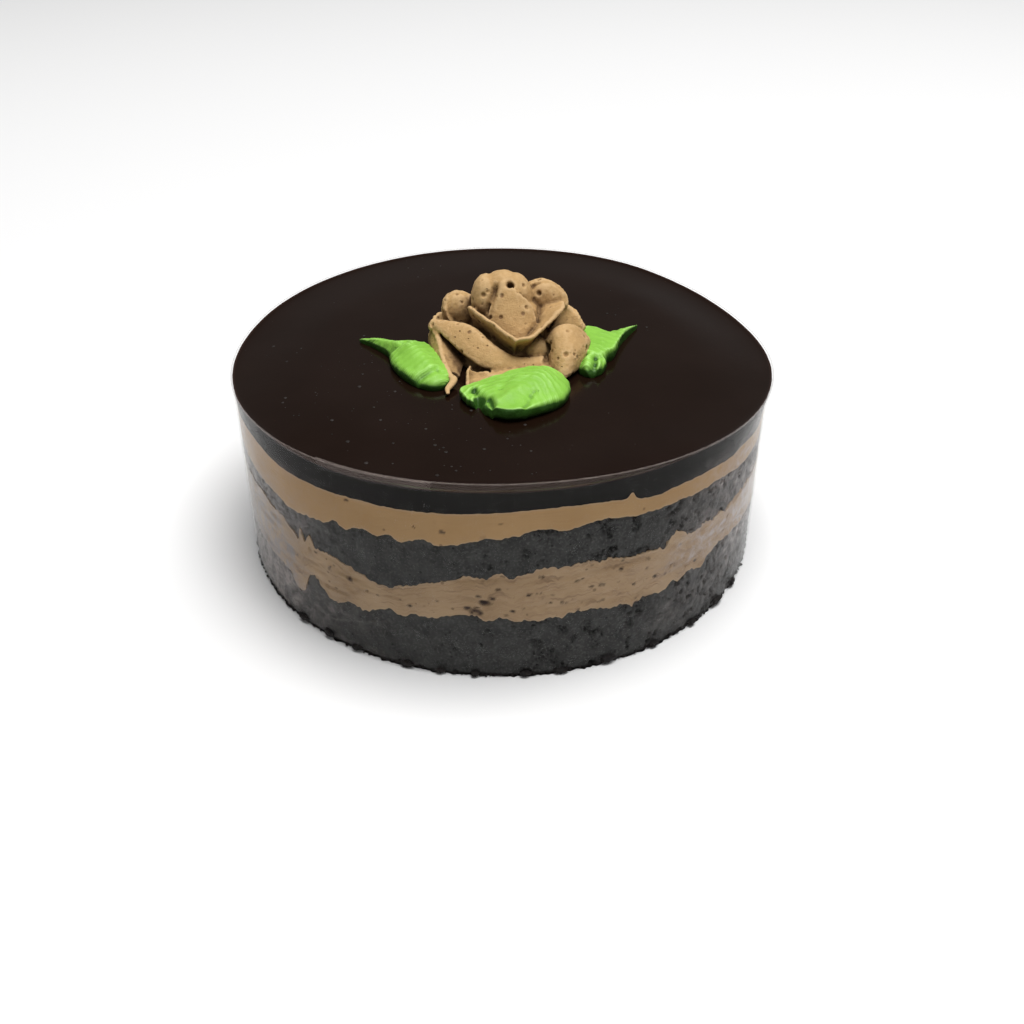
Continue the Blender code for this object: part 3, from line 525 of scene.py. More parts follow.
def hazy(n, color):
    """Smears on the film, greyish lilac or brown low down, and a painted reflection of the film at
    the left and right.
    """
    fine = n.spread(n.noise(n.place(), 420.0, 5.0, 0.70, 0.5), 0.34, 0.68, 0.20, 1.70)
    smear = n.mix(n.attribute("brown"), SMEAR_AND_REFLECTION["lilac"], SMEAR_AND_REFLECTION["brown"])
    return n.tint(color, n.attribute("haze"), fine, smear)


def under_film(n, share, amount=0.75):
    """The sheen of the film pressed against a side: a pale veil towards a glancing view."""
    return dict(Coat_Weight=n.times(share, amount), Coat_IOR=1.2, Coat_Roughness=0.22)


def dark_sponge_material(handmade, pits):
    """Cocoa crumb seen through the film: grey-brown, painted shade in its holes; bare crumb is
    blacker.
    """
    material, n = new_material("dark_sponge")
    place, bare = n.place(), n.attribute("bare")
    uneven = n.group(handmade, Vector=place, Size=240.0)
    holes = n.group(pits, Vector=place, Scale=700.0, Share=0.34)
    grain = n.noise(place, 1500.0, 2.0)
    torn = n.spread(n.noise(place, 1150.0, 3.0, 0.6), 0.45, 0.60)
    color = n.mix(uneven["Tone"], SPONGE["dark"], SPONGE["light"])
    color = n.shade(color, grain, 0.50, 0.72, 0.60, SPONGE["grain"])
    # painted shade in the air pits
    color = n.tint(color, holes["Mask"], 0.7, SPONGE["pit_shade"])
    color = n.tint(color, n.attribute("near_edge"), 0.30, SPONGE["seam"])
    # painted shade in the torn open holes
    color = n.tint(color, n.times(n.attribute("hole"), torn), 0.9, SPONGE["hole"])
    relief = n.plus(uneven["Height"], n.times(grain, 0.4))
    n.surface(n.mix(bare, hazy(n, color), SPONGE["bare"]), 0.9, Specular_IOR_Level=0.05,
              Normal=n.bump(relief, 0.0004, 0.6), **under_film(n, n.less_than_whole(bare)))
    return material


def loose_crumb_material(handmade):
    """The same cake where no film covers it: blacker, with a little moist sheen."""
    material, n = new_material("sponge_crumb")
    uneven = n.group(handmade, Vector=n.place(), Size=700.0)
    n.surface(n.mix(uneven["Tone"], CRUMB["dark"], CRUMB["light"]), 0.7, Specular_IOR_Level=0.3,
              Normal=n.bump(uneven["Height"], 0.0004, 0.8))
    return material


def cream_material(name, handmade, pits, light, dark, streaks):
    """Cocoa cream pressed flat against the film, with drawn-out streaks where it was spread."""
    material, n = new_material(name)
    place = n.place()
    uneven = n.group(handmade, Vector=place, Size=70.0)
    mottle = n.noise(place, 330.0, 4.0, 0.62)
    holes = n.group(pits, Vector=place, Scale=420.0, Share=0.10)
    unrolled = n.add("ShaderNodeUVMap", uv_map="side")
    stretched = n.add("ShaderNodeMapping", {"Vector": unrolled, "Scale": (1.0, 5.0, 1.0)})
    drawn = n.noise(stretched.outputs[0], 130.0, 5.0, 0.62, 0.9)
    wavy = n.spread(n.calc("ABSOLUTE", n.calc("SUBTRACT", drawn, 0.47)), 0.012, 0.0)
    color = n.mix(uneven["Tone"], dark, light)
    color = n.shade(color, drawn, 0.52, 0.76, streaks, CREAM["pale"])
    color = n.shade(color, drawn, 0.47, 0.30, streaks, CREAM["brown"])
    color = n.tint(color, wavy, 0.5 * streaks, CREAM["line"])
    color = n.shade(color, mottle, 0.40, 0.66, 0.30, dark)
    color = n.tint(color, n.attribute("near_edge"), 0.45, CREAM["seam"])
    color = n.mix(n.attribute("crumbs_in"), color, CREAM["crumb"])
    # painted shade in the air pits
    color = n.tint(color, holes["Mask"], 0.5, CREAM["pit_shade"])
    relief = n.plus(n.times(drawn, streaks), holes["Height"])
    n.surface(hazy(n, color), 0.7, Specular_IOR_Level=0.05, Normal=n.bump(relief, 0.0003, 0.4),
              **under_film(n, 1.0))
    return material


def ganache_material(handmade):
    """Poured glaze: almost black and glossy; thinner and redder at the film's rim."""
    material, n = new_material("ganache_glaze")
    thin, side = n.attribute("thin"), n.attribute("side")
    uneven = n.group(handmade, Vector=n.place(), Size=45.0)
    color = n.mix(uneven["Tone"], GLAZE["dark"], GLAZE["light"])
    color = n.tint(color, thin, 0.8, GLAZE["thin"])
    color = n.tint(color, side, n.less_than_whole(thin), GLAZE["pressed"])
    n.surface(hazy(n, color), n.spread(uneven["Tone"], 0.0, 1.0, 0.13, 0.19),
              Specular_IOR_Level=n.spread(side, 0.0, 1.0, 0.20, 0.0),
              Normal=n.bump(uneven["Height"], 0.0002, 0.12), **under_film(n, side, 0.55))
    return material


def buttercream_material(handmade, pits):
    """Mocha buttercream: matte, with painted shade in its fine air pits and folds and painted
    highlights on ridges.
    """
    material, n = new_material("mocha_buttercream")
    place = n.place()
    uneven = n.group(handmade, Vector=place, Size=130.0)
    small = n.group(pits, Vector=place, Scale=780.0, Share=0.20)
    large = n.group(pits, Vector=place, Scale=330.0, Share=0.13)
    grain = n.noise(place, 2400.0, 3.0, 0.65)
    color = n.mix(uneven["Tone"], BUTTERCREAM["dark"], BUTTERCREAM["light"])
    color = n.shade(color, grain, 0.42, 0.66, 0.30, BUTTERCREAM["grain"])
    # painted shade in the air pits
    color = n.tint(color, small["Mask"], 0.7, BUTTERCREAM["small_pit_shade"])
    color = n.tint(color, large["Mask"], 0.8, BUTTERCREAM["large_pit_shade"])
    # painted highlight on ridges, painted shade in folds and listed hollows
    color = n.tint(color, n.attribute("ridge"), 0.45, BUTTERCREAM["ridge"])
    color = n.shade(color, n.attribute("fold"), 0.17, 0.80, 0.90, BUTTERCREAM["fold"])
    relief = n.plus(n.plus(n.times(uneven["Height"], 0.35), n.times(grain, 0.45)),
                    n.plus(small["Height"], large["Height"]))
    n.surface(color, 0.7, Specular_IOR_Level=0.2, Normal=n.bump(relief, 0.0005, 1.0))
    return material


def green_icing_material(handmade, pits):
    """Bright green icing: smooth and satin, with painted highlights along fine dragged lines and
    on ridges, and painted shade in its air pits and folds.
    """
    material, n = new_material("green_icing")
    place = n.place()
    uneven = n.group(handmade, Vector=place, Size=160.0)
    holes = n.group(pits, Vector=place, Scale=600.0, Share=0.06)
    grain = n.noise(place, 1900.0, 3.0, 0.65)
    color = n.mix(uneven["Tone"], GREEN["dark"], GREEN["light"])
    # painted highlight along the dragged lines
    color = n.mix(n.attribute("drag_highlight"), color, GREEN["drag_highlight"])
    # painted shade in the air pits
    color = n.tint(color, holes["Mask"], 0.4, GREEN["pit_shade"])
    # painted highlight on ridges, painted shade in folds and listed hollows
    color = n.tint(color, n.attribute("ridge"), 0.55, GREEN["ridge"])
    color = n.shade(color, n.attribute("fold"), 0.14, 0.62, 0.93, GREEN["fold"])
    relief = n.plus(n.plus(n.times(uneven["Height"], 0.5), holes["Height"]),
                    n.times(grain, 0.5))
    n.surface(color, 0.42, Specular_IOR_Level=0.3, Normal=n.bump(relief, 0.0004, 0.7))
    return material


def film_material():
    """Clear film: a pale veil that grows towards a glancing view, faint dust, and a cut edge."""
    material, n = new_material("clear_film")
    free = n.attribute("free")
    facing = n.add("ShaderNodeLayerWeight", {"Blend": 0.5}).outputs["Facing"]
    veil = n.spread(n.calc("POWER", facing, 9.0), 0.0, 1.0, 0.0, 0.40)
    dust = n.spread(n.noise(n.place(), 300.0, 4.0, 0.65, 0.5), 0.55, 0.75, 0.0, 0.008)
    edge = n.spread(n.attribute("cut_edge"), 0.80, 1.0, 0.0, 0.22)
    seen = n.plus(n.plus(veil, dust), n.plus(n.times(free, 0.016), edge))
    n.surface(n.mix(free, FILM["clear"], FILM["free"]), 0.25, Metallic=0.85,
              Alpha=n.calc("MINIMUM", seen, 0.95))
    return material


def bubble_material():
    """The skin of a burst bubble in the glaze: greyer than the glaze round it."""
    material, n = new_material("glaze_bubble")
    place = n.place()
    tone = n.spread(n.noise(place, 160.0, 2.0), 0.35, 0.65)
    n.surface(n.mix(tone, BUBBLE["dark"], BUBBLE["light"]), 0.5, Specular_IOR_Level=0.2,
              Normal=n.bump(n.noise(place, 2500.0, 2.0), 0.0001, 0.4))
    return material


def floor_material():
    material, n = new_material("pale_floor")
    n.surface(FLOOR, 0.8, Specular_IOR_Level=0.2)
    return material


# ---- the layers -------------------------------------------------------------------
def one_spot(made, angle, height, at, z, radius, deep, skew, flat):
    """Deepens a side grid by one rounded hole; at in degrees, the rest in mm."""
    reach = np.degrees(radius * MM / CAKE_RADIUS) * 1.6
    near = np.where(np.abs((angle[0] - at + 180) % 360 - 180) < reach)[0]
    across = ((angle[:, near] - at + 180) % 360 - 180) * np.radians(1) * CAKE_RADIUS / MM
    rise = height[:, near] / MM - z
    far = np.sqrt((across + skew * rise) ** 2 + (rise * flat) ** 2) / radius
    made[:, near] = np.maximum(made[:, near], deep * np.clip(1 - far ** 2, 0, 1) ** 0.7)


def spots(angle, height, seed, count, spans, size, depth, flat=1.0):
    """Depth in mm of scattered rounded holes on a side grid; spans crowd them by angle."""
    draw = np.random.default_rng(seed)
    made = np.zeros(angle.shape)
    low, high = height.min() / MM, height.max() / MM
    for _ in range(count):
        start, end = spans[draw.integers(len(spans))]
        at, z = draw.uniform(start, end), draw.uniform(low, high)
        radius = size[0] + (size[1] - size[0]) * draw.random() ** 2.2
        deep = draw.uniform(*depth) * min(1.0, radius)
        one_spot(made, angle, height, at, z, radius, deep, draw.uniform(-0.5, 0.5),
                 flat * draw.uniform(1.0, 1.7))
    return made


# Smears of cream and crumb, and towards the left and right a painted reflection of the film.
# Clouds on the inside of the film: degrees, half width, height, half height, amount, brown.
CLOUDS = ((-66, 9, 24, 19, 0.42, 0.5), (-54, 6, 14, 10, 0.26, 0.7), (-49, 4, 26, 9, 0.16, 0.7),
          (-72, 8, 44, 14, 0.20, 0.2), (-44, 3, 36, 8, 0.06, 0.3), (-32, 8, 10.5, 3.2, 0.12, 0.9),
          (-28, 9, 1.6, 1.5, 0.30, 1.0), (-20, 6, 1.0, 1.2, 0.26, 1.0), (58, 7, 18, 14, 0.22, 0.35),
          (66, 9, 30, 20, 0.38, 0.25), (47, 6, 11, 7, 0.12, 0.2), (70, 8, 46, 10, 0.22, 0.1),
          (60, 4, 40, 6, 0.07, 0.3), (36, 5, 26, 5, 0.05, 0.4), (-47, 11, 37, 8, 0.16, 0.2),
          (-50, 17, 9, 11, 0.26, 0.35), (-54, 8, 22, 6, 0.45, 1.0), (47, 9, 37, 6, 0.22, 0.1),
          (38, 6, 9, 8, 0.12, 0.1), (48, 13, 27, 6, 0.60, 0.0), (53, 11, 46, 5, 0.50, 0.0),
          (-50, 10, 46, 4, 0.10, 0.1), (-65, 13, 16, 17, 2.4, 0.85),
          (-66, 10, 34, 8, 0.8, 0.7), (66, 9, 26, 9, 0.9, 0.05))
# A line drawn through the smears: it starts at an angle and a height, rises over its run, and
# shows between two angles. In degrees and mm.
DRAWN_LINE = dict(start=-36, run=14, low=7.5, rise=6.5, half_width=0.35, amount=0.09,
                  shown=(-37, -21))
MOST_HAZE = 0.86


def clouds_on_film(angle, height):
    """Where cream and crumb have smeared the inside of the film, with a painted reflection of the
    film at the left and right, and how brown that is.
    """
    z = height / MM
    rough = ((0.5 + 0.5 * wall_noise(angle, height, 3.4, 301))
             * (0.6 + 0.5 * wall_noise(angle, height, 1.2, 302, 2.0)))
    total, brown = np.zeros(height.shape), np.zeros(height.shape)
    for at, wide, middle, tall, amount, tone in CLOUDS:
        part = amount * np.exp(-((angle - at) / wide) ** 2 - ((z - middle) / tall) ** 2)
        total += part
        brown += part * tone
    brown /= total + 1e-4
    total *= 0.30 + 1.15 * rough
    line, (first, last) = DRAWN_LINE, DRAWN_LINE["shown"]
    level = line["low"] + (angle - line["start"]) / line["run"] * line["rise"]
    total += (line["amount"] * np.exp(-((z - level) / line["half_width"]) ** 2)
              * ((angle > first) & (angle < last)))
    return np.clip(total, 0, MOST_HAZE), np.clip(brown, 0, 1)


def shell_faces(rows, count):
    """Faces of rings of COLUMNS points from the foot's hub out, up and in to the top's hub."""
    faces = band_faces(rows, COLUMNS)
    last = (rows - 1) * COLUMNS
    for k in range(COLUMNS):
        other = (k + 1) % COLUMNS
        faces.append((other, k, count - 2))
        faces.append((last + k, last + other, count - 1))
    return faces


def shell_piece(name, rings, low_hub, high_hub, material, sharp_from, marks, first=0):
    """A round body closed by a hub below and one above, with its marks from the first point."""
    points = np.concatenate([rings.reshape(-1, 3), [[0, 0, low_hub], [0, 0, high_hub]]])
    piece = make_piece(name, points, shell_faces(len(rings), len(points)), material)
    piece.data.set_sharp_from_angle(angle=math.radians(sharp_from))
    for key, values in marks.items():
        paint(piece.data, key, values, first)
    return piece


def lay_side_map(mesh, share):
    """Unrolled side: metres round the cake, and up the layer along its own seams."""
    points = mesh_points(mesh)
    up = np.zeros(len(points))
    up[COLUMNS:(len(share) + 1) * COLUMNS] = np.repeat(share[:, 0], COLUMNS) * MAP_HEIGHT
    corners = read(mesh.loops, "vertex_index", 1, int)[:, 0]
    turn = np.degrees(np.arctan2(points[:, 0], -points[:, 1]))[corners]
    turn = np.where(turn < BACK, turn + 360, turn)
    unrolled = np.stack([np.radians(turn) * CAKE_RADIUS, up[corners]], -1)
    mesh.uv_layers.new(name="side").data.foreach_set("uv", unrolled.ravel())


def layer_piece(name, low, high, rows, relief, material, slot):
    """A round layer whose side is a fine grid between two uneven lines."""
    share = np.linspace(0, 1, rows)[:, None]
    angle = np.broadcast_to(AROUND, (rows, COLUMNS))
    height = low * (1 - share) + high * share
    depth, marks = relief(angle, height)
    from_seam = np.minimum(share, 1 - share) * (high - low) / MM
    marks["near_edge"] = np.exp(-(from_seam / 0.32) ** 2)
    marks["haze"], marks["brown"] = clouds_on_film(angle, height)
    side = on_side(CAKE_RADIUS + lean(angle, height) - depth * MM, angle, height)
    foot, top = (on_side(HUB_RADIUS, AROUND, line)[None] for line in (low, high))
    piece = shell_piece(name, np.concatenate([foot, side, top]), low.mean(), high.mean(),
                        material, 60, marks, COLUMNS)
    lay_side_map(piece.data, share)
    ride_and_stand_for(piece, slot, name)


def sponge_relief(seed, bare_foot=False):
    """Crumb with open holes in clumps, and a bare crumbly foot under the film's edge."""
    def relief(angle, height):
        def noise(cell, extra):
            return wall_noise(angle, height, cell, seed + extra)

        rough = 0.20 * noise(3.1, 0) + 0.16 * noise(1.3, 1) + 0.10 * noise(0.62, 2)
        open_crumb = spots(angle, height, seed + 5, 4200, ((-180, 180), (-12, 70), (4, 30)),
                           (0.22, 0.85), (0.5, 1.6))
        clumps = ease((noise(3.2, 8) + 0.05) / 0.4) * (0.45 + 0.55 * ease((angle + 5) / 25))
        holes = open_crumb * (0.10 + 0.90 * clumps)
        fine = np.clip((noise(0.6, 9) - 0.22) / 0.3, 0, 1) * clumps
        depth = np.clip(0.10 + rough, -0.12, 1.0) + holes
        bare = np.zeros(height.shape)
        if bare_foot:
            bare = np.clip((BARE_BELOW - height) / BARE_BLEND, 0, 1)
            crumbly = 0.5 * noise(1.9, 11) + 0.45 * noise(0.9, 12)
            depth = np.clip(depth * (1 - bare) + bare * (crumbly + 0.1), -0.9, 2.0)
        # the hole mark carries painted shade into the torn open holes
        return depth, {"hole": np.clip(holes / 0.55 + 0.6 * fine, 0, 1), "bare": bare}
    return relief


# Bigger bits of sponge caught in the creams: degrees, height and half size in mm.
CAUGHT_BITS = ((-31, 24, 1.3), (-36, 24.5, 1.0), (-27, 22, 0.6), (-4.5, 21.6, 2.0),
               (-2.8, 24.6, 1.7), (-6.2, 22.8, 1.1), (-1.4, 26.0, 1.2), (-4.0, 26.6, 0.9),
               (2.5, 22.0, 0.8), (8, 32, 0.9), (20, 27, 1.1), (24, 30.5, 0.8), (30, 31, 0.9),
               (12, 23.6, 0.7), (16, 30, 0.6), (27, 24.4, 0.7), (-16, 46, 0.55),
               (-10.5, 45.5, 1.0), (-12, 24, 0.5), (5.5, 27, 0.7))


def cream_relief(seed, roughness, soiling):
    """Cream drawn out round the side, with small holes and bits of sponge caught in it."""
    def relief(angle, height):
        waves = roughness * (0.5 * wall_noise(angle, height, 2.2, seed, 5.0)
                             + 0.35 * wall_noise(angle, height, 0.9, seed + 1, 4.0))
        holes = spots(angle, height, seed + 3, int(260 * roughness) + 20, ((-180, 180),),
                      (0.25, 0.8), (0.3, 0.8))
        specks = spots(angle, height, seed + 6, soiling, ((-180, 180), (-40, 45), (0, 45)),
                       (0.25, 1.0), (0.8, 1.0), 1.5)
        for at, z, size in CAUGHT_BITS:
            one_spot(specks, angle, height, at, z, size, 1.0, 0.3, 1.6)
        torn = 0.6 + 0.5 * wall_noise(angle, height, 0.8, seed + 7)
        depth = np.clip(waves, 0.0, 0.5) - 0.14 + holes + 0.15 * specks
        return depth, {"crumbs_in": np.clip(specks * torn * 1.6, 0, 1)}
    return relief


def seam(knots, seed, cells, depth):
    """A torn line round the cake: its measured knots, with noise at three sizes and a jag."""
    jag = np.random.default_rng(seed).normal(0, 1, COLUMNS)
    jag = 0.5 * jag + 0.25 * (np.roll(jag, 1) + np.roll(jag, -1))
    torn = sum(wall_noise(AROUND, 0.0, cell, seed + k) * NOISE_FADE ** k
               for k, cell in enumerate(cells))
    return around(knots, AROUND) + depth * MM * torn + 0.34 * depth * MM * jag


def rise_to_edge(radius, angle):
    """How far the poured top stands over its middle, before its creep up the film."""
    blend = ease((radius - RISE_FROM) / (CAKE_RADIUS - RISE_FROM))
    return (around(POURED_EDGE, angle) - CREEP - LEVEL) * blend


def poured_height(share_out):
    """Height of the poured top on one ring, with a small creep up the film."""
    radius = share_out * CAKE_RADIUS
    creep = CREEP * np.exp(-(1 - share_out) * CAKE_RADIUS / CREEP_REACH)
    wave = 0.03 * MM * wall_noise(AROUND, share_out * 60 * MM, 14.0, 5)
    return LEVEL + rise_to_edge(radius, AROUND) + creep + wave * share_out


def ganache_piece(low, material, side_rows=16, top_rings=32):
    """Poured top: a plain side, a small rise where it meets the film, and a level middle."""
    edge = poured_height(1.0)
    share = np.linspace(0, 1, side_rows)[:, None]
    height = low * (1 - share) + edge * share
    ripple = 0.04 * MM * wall_noise(AROUND[None, :], height, 3.0, 71)
    side = on_side(CAKE_RADIUS + 0.12 * MM + ripple + lean(AROUND[None, :], height), AROUND,
                   height)
    out = 1 - np.linspace(0, 1, top_rings + 2)[1:-1] ** 1.8
    most = lean(AROUND, edge)
    top = np.stack([on_side((CAKE_RADIUS + most) * s, AROUND, poured_height(s)) for s in out])
    rings = np.concatenate([on_side(HUB_RADIUS, AROUND, low)[None], side, top])
    thin = np.exp(-((edge - rings[..., 2]) / (0.30 * MM)) ** 2)
    thin[side_rows + 2:] = 0
    haze, brown = clouds_on_film(AROUND[None, :], rings[..., 2])
    haze[side_rows + 1:] = 0
    upright = np.zeros(haze.shape)
    upright[:side_rows] = 1.0
    piece = shell_piece("ganache", rings, low.mean(), LEVEL, material, 70,
                        dict(thin=thin, haze=haze, brown=brown, side=upright))
    ride_and_stand_for(piece, "ganache_glaze", "ganache")


# ---- the film ---------------------------------------------------------------------
def film_piece(material, step=0.6, rows=64):
    """The clear strip, once round and lapped over its own start at front left."""
    angle = np.arange(LAP_FROM, LAP_TO + 360 + step / 2, step)[:, None]
    shown = (angle + 180) % 360 - 180
    from_lap = angle - (LAP_FROM + 360)
    climb, sagged = (ease((from_lap - start) / (end - start))
                     for start, end in (LAP_CLIMB, LAP_SAG))
    foot = around(FILM_FOOT, shown) * (1 - sagged) + LAP_FOOT * sagged
    rim = around(FILM_RIM, shown) - 0.1 * MM
    share = np.linspace(0, 1, rows)[None]
    height = foot * (1 - share) + rim * share
    inside = FILM_INSIDE + (FILM_WALL + LAP_GAP) * climb + lean(angle, height)
    points = np.stack([on_side(radius, angle, height) for radius in (inside + FILM_WALL, inside)])
    piece = make_piece("film_collar", points.reshape(-1, 3), sheet_faces(len(angle), rows),
                       material)
    piece.data.set_sharp_from_angle(angle=math.radians(50))
    free = np.clip((height - around(POURED_EDGE, shown)) / (0.6 * MM), 0, 1)
    edge = np.exp(-((rim - height) / (0.25 * MM)) ** 2)
    for key, values in (("free", free), ("cut_edge", edge)):
        paint(piece.data, key, np.stack([values, values]))
    ride_and_stand_for(piece, "clear_film", "film_collar")


# ---- the rose ---------------------------------------------------------------------
# Petals, folds and the strand: x, y and height over the poured top, in mm, from left to
# right as seen from outside; a strand's fourth number is its half thickness.
ROSE_CENTRE = (2.5, 1.0)
PETALS = {
    "bud_front": dict(
        foot=((-3.6, -4.6, 11.5), (0.6, -7.6, 9.5), (5.2, -9.2, 8), (9, -5.4, 9.5)),
        rim=((-0.9, 0.2, 20.1), (1, 0, 20.7), (3.4, -0.9, 19.7), (5.6, -1.9, 17.7),
             (7.6, -2.5, 15.7), (8.9, -2.7, 13.7)),
        bulge=0.5, thick=(3.4, 1.6)),
    "cup_left": dict(
        foot=((-7, -1, 2.5), (-3.5, -5, 2.5), (0.5, -7.5, 2.5), (4.6, -8.5, 2.5)),
        rim=((-9.2, -1.6, 14.3), (-5.8, -6.2, 13.9), (-2.2, -9.8, 12.9), (1.2, -13.2, 11.7),
             (4.35, -16.35, 10.7)),
        bulge=-1, thick=(4, 1.2)),
    "cup_right": dict(
        foot=((4.2, -8.5, 2.5), (7.5, -7.5, 3), (9.8, -4.5, 5.5), (11, -1, 8.5), (11.5, 2, 10.5)),
        rim=((3.75, -16.15, 10.85), (8.6, -14.4, 10.8), (12, -10.2, 11.9), (15.4, -6.4, 13.3),
             (17.8, -2.8, 14.3), (18, 2, 13.9)),
        bulge=-1.8, thick=(4, 1.2)),
    "behind_right": dict(
        foot=((6.5, 4, 8.5), (9.5, 5, 8.5), (12.5, 4, 9.5), (15, 2, 10.5)),
        rim=((7.6, 6.4, 17.7), (10.2, 7.4, 18.3), (13.2, 7.4, 18.2), (16.2, 6.2, 17.1),
             (18.2, 4.4, 15.1), (18, 2.4, 13.1)),
        bulge=0.8, thick=(5, 2.6), torn=0.5),
    "behind_left": dict(
        foot=((-6, 5, 5.5), (-8.5, 5, 4), (-10.5, 3.5, 3), (-12, 1, 2.5)),
        rim=((-8.6, 6.2, 13.9), (-11.4, 7, 14.8), (-14.2, 6.6, 14.8), (-16, 5.2, 13.5),
             (-16.8, 3.6, 10.9)),
        bulge=0.9, thick=(5, 2.8), torn=0.5),
    "outer_left": dict(
        foot=((-13, 0, 0.5), (-13, 5, 0.5), (-11, 8.5, 0.5)),
        rim=((-20, 4.6, 6.7), (-19.2, 7.4, 7.1), (-17.6, 9.2, 7.3), (-15.4, 10, 7.1)),
        bulge=0.6, thick=(4, 1.8)),
    "rolled_left": dict(
        foot=((-11, -2, 0.5), (-7, -6.5, 0.5), (-1.5, -9.5, 0.5), (8, -10, 0.5)),
        rim=((-19.2, 1.4, 7.5), (-13.8, -2.6, 8.7), (-7.8, -7.4, 9.3), (-1.4, -12.6, 5.7),
             (5, -13.6, 3.1), (12, -12.4, 2.7)),
        lip=((-19.2, 0.2, 6.7), (-15, -7.2, 6.7), (-10.2, -12.6, 4.5), (-4.6, -16.6, 2.6),
             (3, -16.6, 1.9), (10, -15, 1.7)),
        bulge=0.5, lip_bulge=0.7, thick=(4, 1.6)),
    "rolled_right": dict(
        foot=((11, -5, 1), (14, -4.5, 1), (17.5, -2.5, 1), (20, 0.5, 1)),
        rim=((13.7, -8.4, 6.1), (15.6, -8, 9.1), (18.2, -6.6, 9.5), (20.8, -4.6, 8.1),
             (22.4, -2.6, 5.5)),
        lip=((13.8, -11.5, 2.9), (14.8, -16.4, 1.4), (17.4, -20, 0.8), (21.4, -13.2, 1.3),
             (23, -6.6, 2.7)),
        bulge=0.5, lip_bulge=1.9, thick=(4, 2.4)),
    "side_right": dict(
        foot=((11.5, -1, 2.5), (15, -1.5, 1.5), (18.5, -0.5, 0.5), (21, 1.5, 0.5)),
        rim=((17.2, 3.6, 12.5), (19.8, 4.8, 10.3), (22.2, 4.2, 8.7), (24.2, 2.2, 6.1)),
        bulge=0.3, thick=(4, 1.9)),
    "back_low": dict(
        foot=((12, 8, 0.5), (6, 13, 0.5), (-1, 14, 0.5), (-8, 11, 0.5)),
        rim=((19, 11, 8.5), (10, 19.5, 8.9), (0, 21, 9.9), (-9, 18, 8.5), (-14, 12, 6.5)),
        bulge=0.5, thick=(4, 1.6)),
    "back_high": dict(
        foot=((8, 5, 4.5), (3, 9, 4.5), (-3, 8, 4.5)),
        rim=((11, 11, 12.5), (4, 15, 13.5), (-4, 14, 13), (-9, 10, 12)),
        bulge=-0.4, thick=(4, 1.6)),
    "back_side": dict(
        foot=((17, 4, 0.5), (13, 9, 0.5), (8, 12, 0.5)),
        rim=((24, 3, 5.7), (22, 9, 7.7), (17, 14, 8.5), (10, 17.5, 7.5)),
        bulge=0.5, thick=(4, 1.6)),
    "foot_front": dict(
        foot=((-2, -12, 0.7), (4, -12, 0.9), (10, -11, 0.9), (13, -9, 0.9)),
        rim=((-3, -20.8, 1.4), (1.5, -20.8, 2), (6, -20.6, 2.4), (10.8, -19.2, 2.4),
             (13.8, -16.6, 1.9)),
        bulge=0.3, thick=(4, 1.6)),
    "skirt_left": dict(
        foot=((-12.4, 2, 0.6), (-11.4, -3, 0.5), (-10.6, -8, 0.5), (-11, -14, 0.5),
              (-11.6, -19, 0.5)),
        rim=((-18.8, 0.4, 6.6), (-17.3, -6.5, 5.3), (-16.1, -12.6, 3.6), (-14.2, -19.4, 2.3)),
        bulge=-0.9, thick=(1.6, 1.3)),
    "skirt_outer": dict(
        foot=((-20.4, 5, 0.5), (-20.4, 1.6, 0.5), (-18.9, -5, 0.5), (-17, -11.4, 0.5),
              (-15, -17.4, 0.5)),
        rim=((-19.2, 1.2, 6.8), (-17.4, -6.5, 5.3), (-16.2, -12.6, 3.6), (-14.3, -19.4, 2.3)),
        bulge=0.4, thick=(1.6, 1.3)),
    "fin": dict(
        foot=((-8.2, -15, 0.5), (-8.7, -19, 0.5), (-8.8, -24, 0.5)),
        rim=((-8.4, -15.4, 2.6), (-8.9, -19.6, 3.4), (-9, -24.4, 1)),
        bulge=0, thick=(1.8, 0.8)),
    "fin_face": dict(
        foot=((-9.2, -23, 0.5), (-7.6, -21.2, 0.5), (-5.6, -21, 0.5), (-3.2, -22, 0.5)),
        rim=((-9.2, -19, 3.3), (-7.8, -17.8, 2.2), (-6.2, -17.8, 2.0), (-3.4, -18.6, 2.6)),
        bulge=-0.3, thick=(1.8, 0.9)),
}
LOBES = {
    "bud_middle": ((0.4, 3.4, 14.15), (7, 6.4, 8.4)),
    "bud_right": ((3.4, 3.6, 13.7), (5.8, 6, 8)),
    "bud_left": ((-4.3, 2.4, 14.5), (4.2, 5.7, 7.4)),
    "behind_right": ((12.8, 4.8, 12.1), (5.4, 3.3, 6.2)),
    "behind_left": ((-12.3, 4.9, 9.1), (4.2, 2.7, 5.8)),
    "under_roll": ((-4, -13.6, 0.1), (5, 5, 0.9)),
    "under_roll_front": ((-5.6, -20.6, 0.1), (3.6, 3, 0.9)),
    "under_cup": ((9.6, -7.4, 3), (4.6, 4, 4.4)),
    "corner_left": ((-19.3, 0.8, 7), (1.6, 2.1, 1.5)),
}
ROSE_HEART = ((17.5, -0.4), (17.5, 0.8), (15, 2), (12, 4), (10, 7), (9, 10), (7.6, 13),
              (5, 15.6), (2, 16.8))
STRAND = ((-19.0, 0.4, 6.9, 1.1), (-17.3, -6.5, 5.5, 0.8), (-16.1, -12.6, 3.8, 0.75),
          (-14.0, -20, 2.4, 0.9), (-12.7, -22.6, 1.9, 1.15), (-14.1, -26.4, 1.3, 0.8),
          (-14.0, -28.6, 0.9, 0.5))
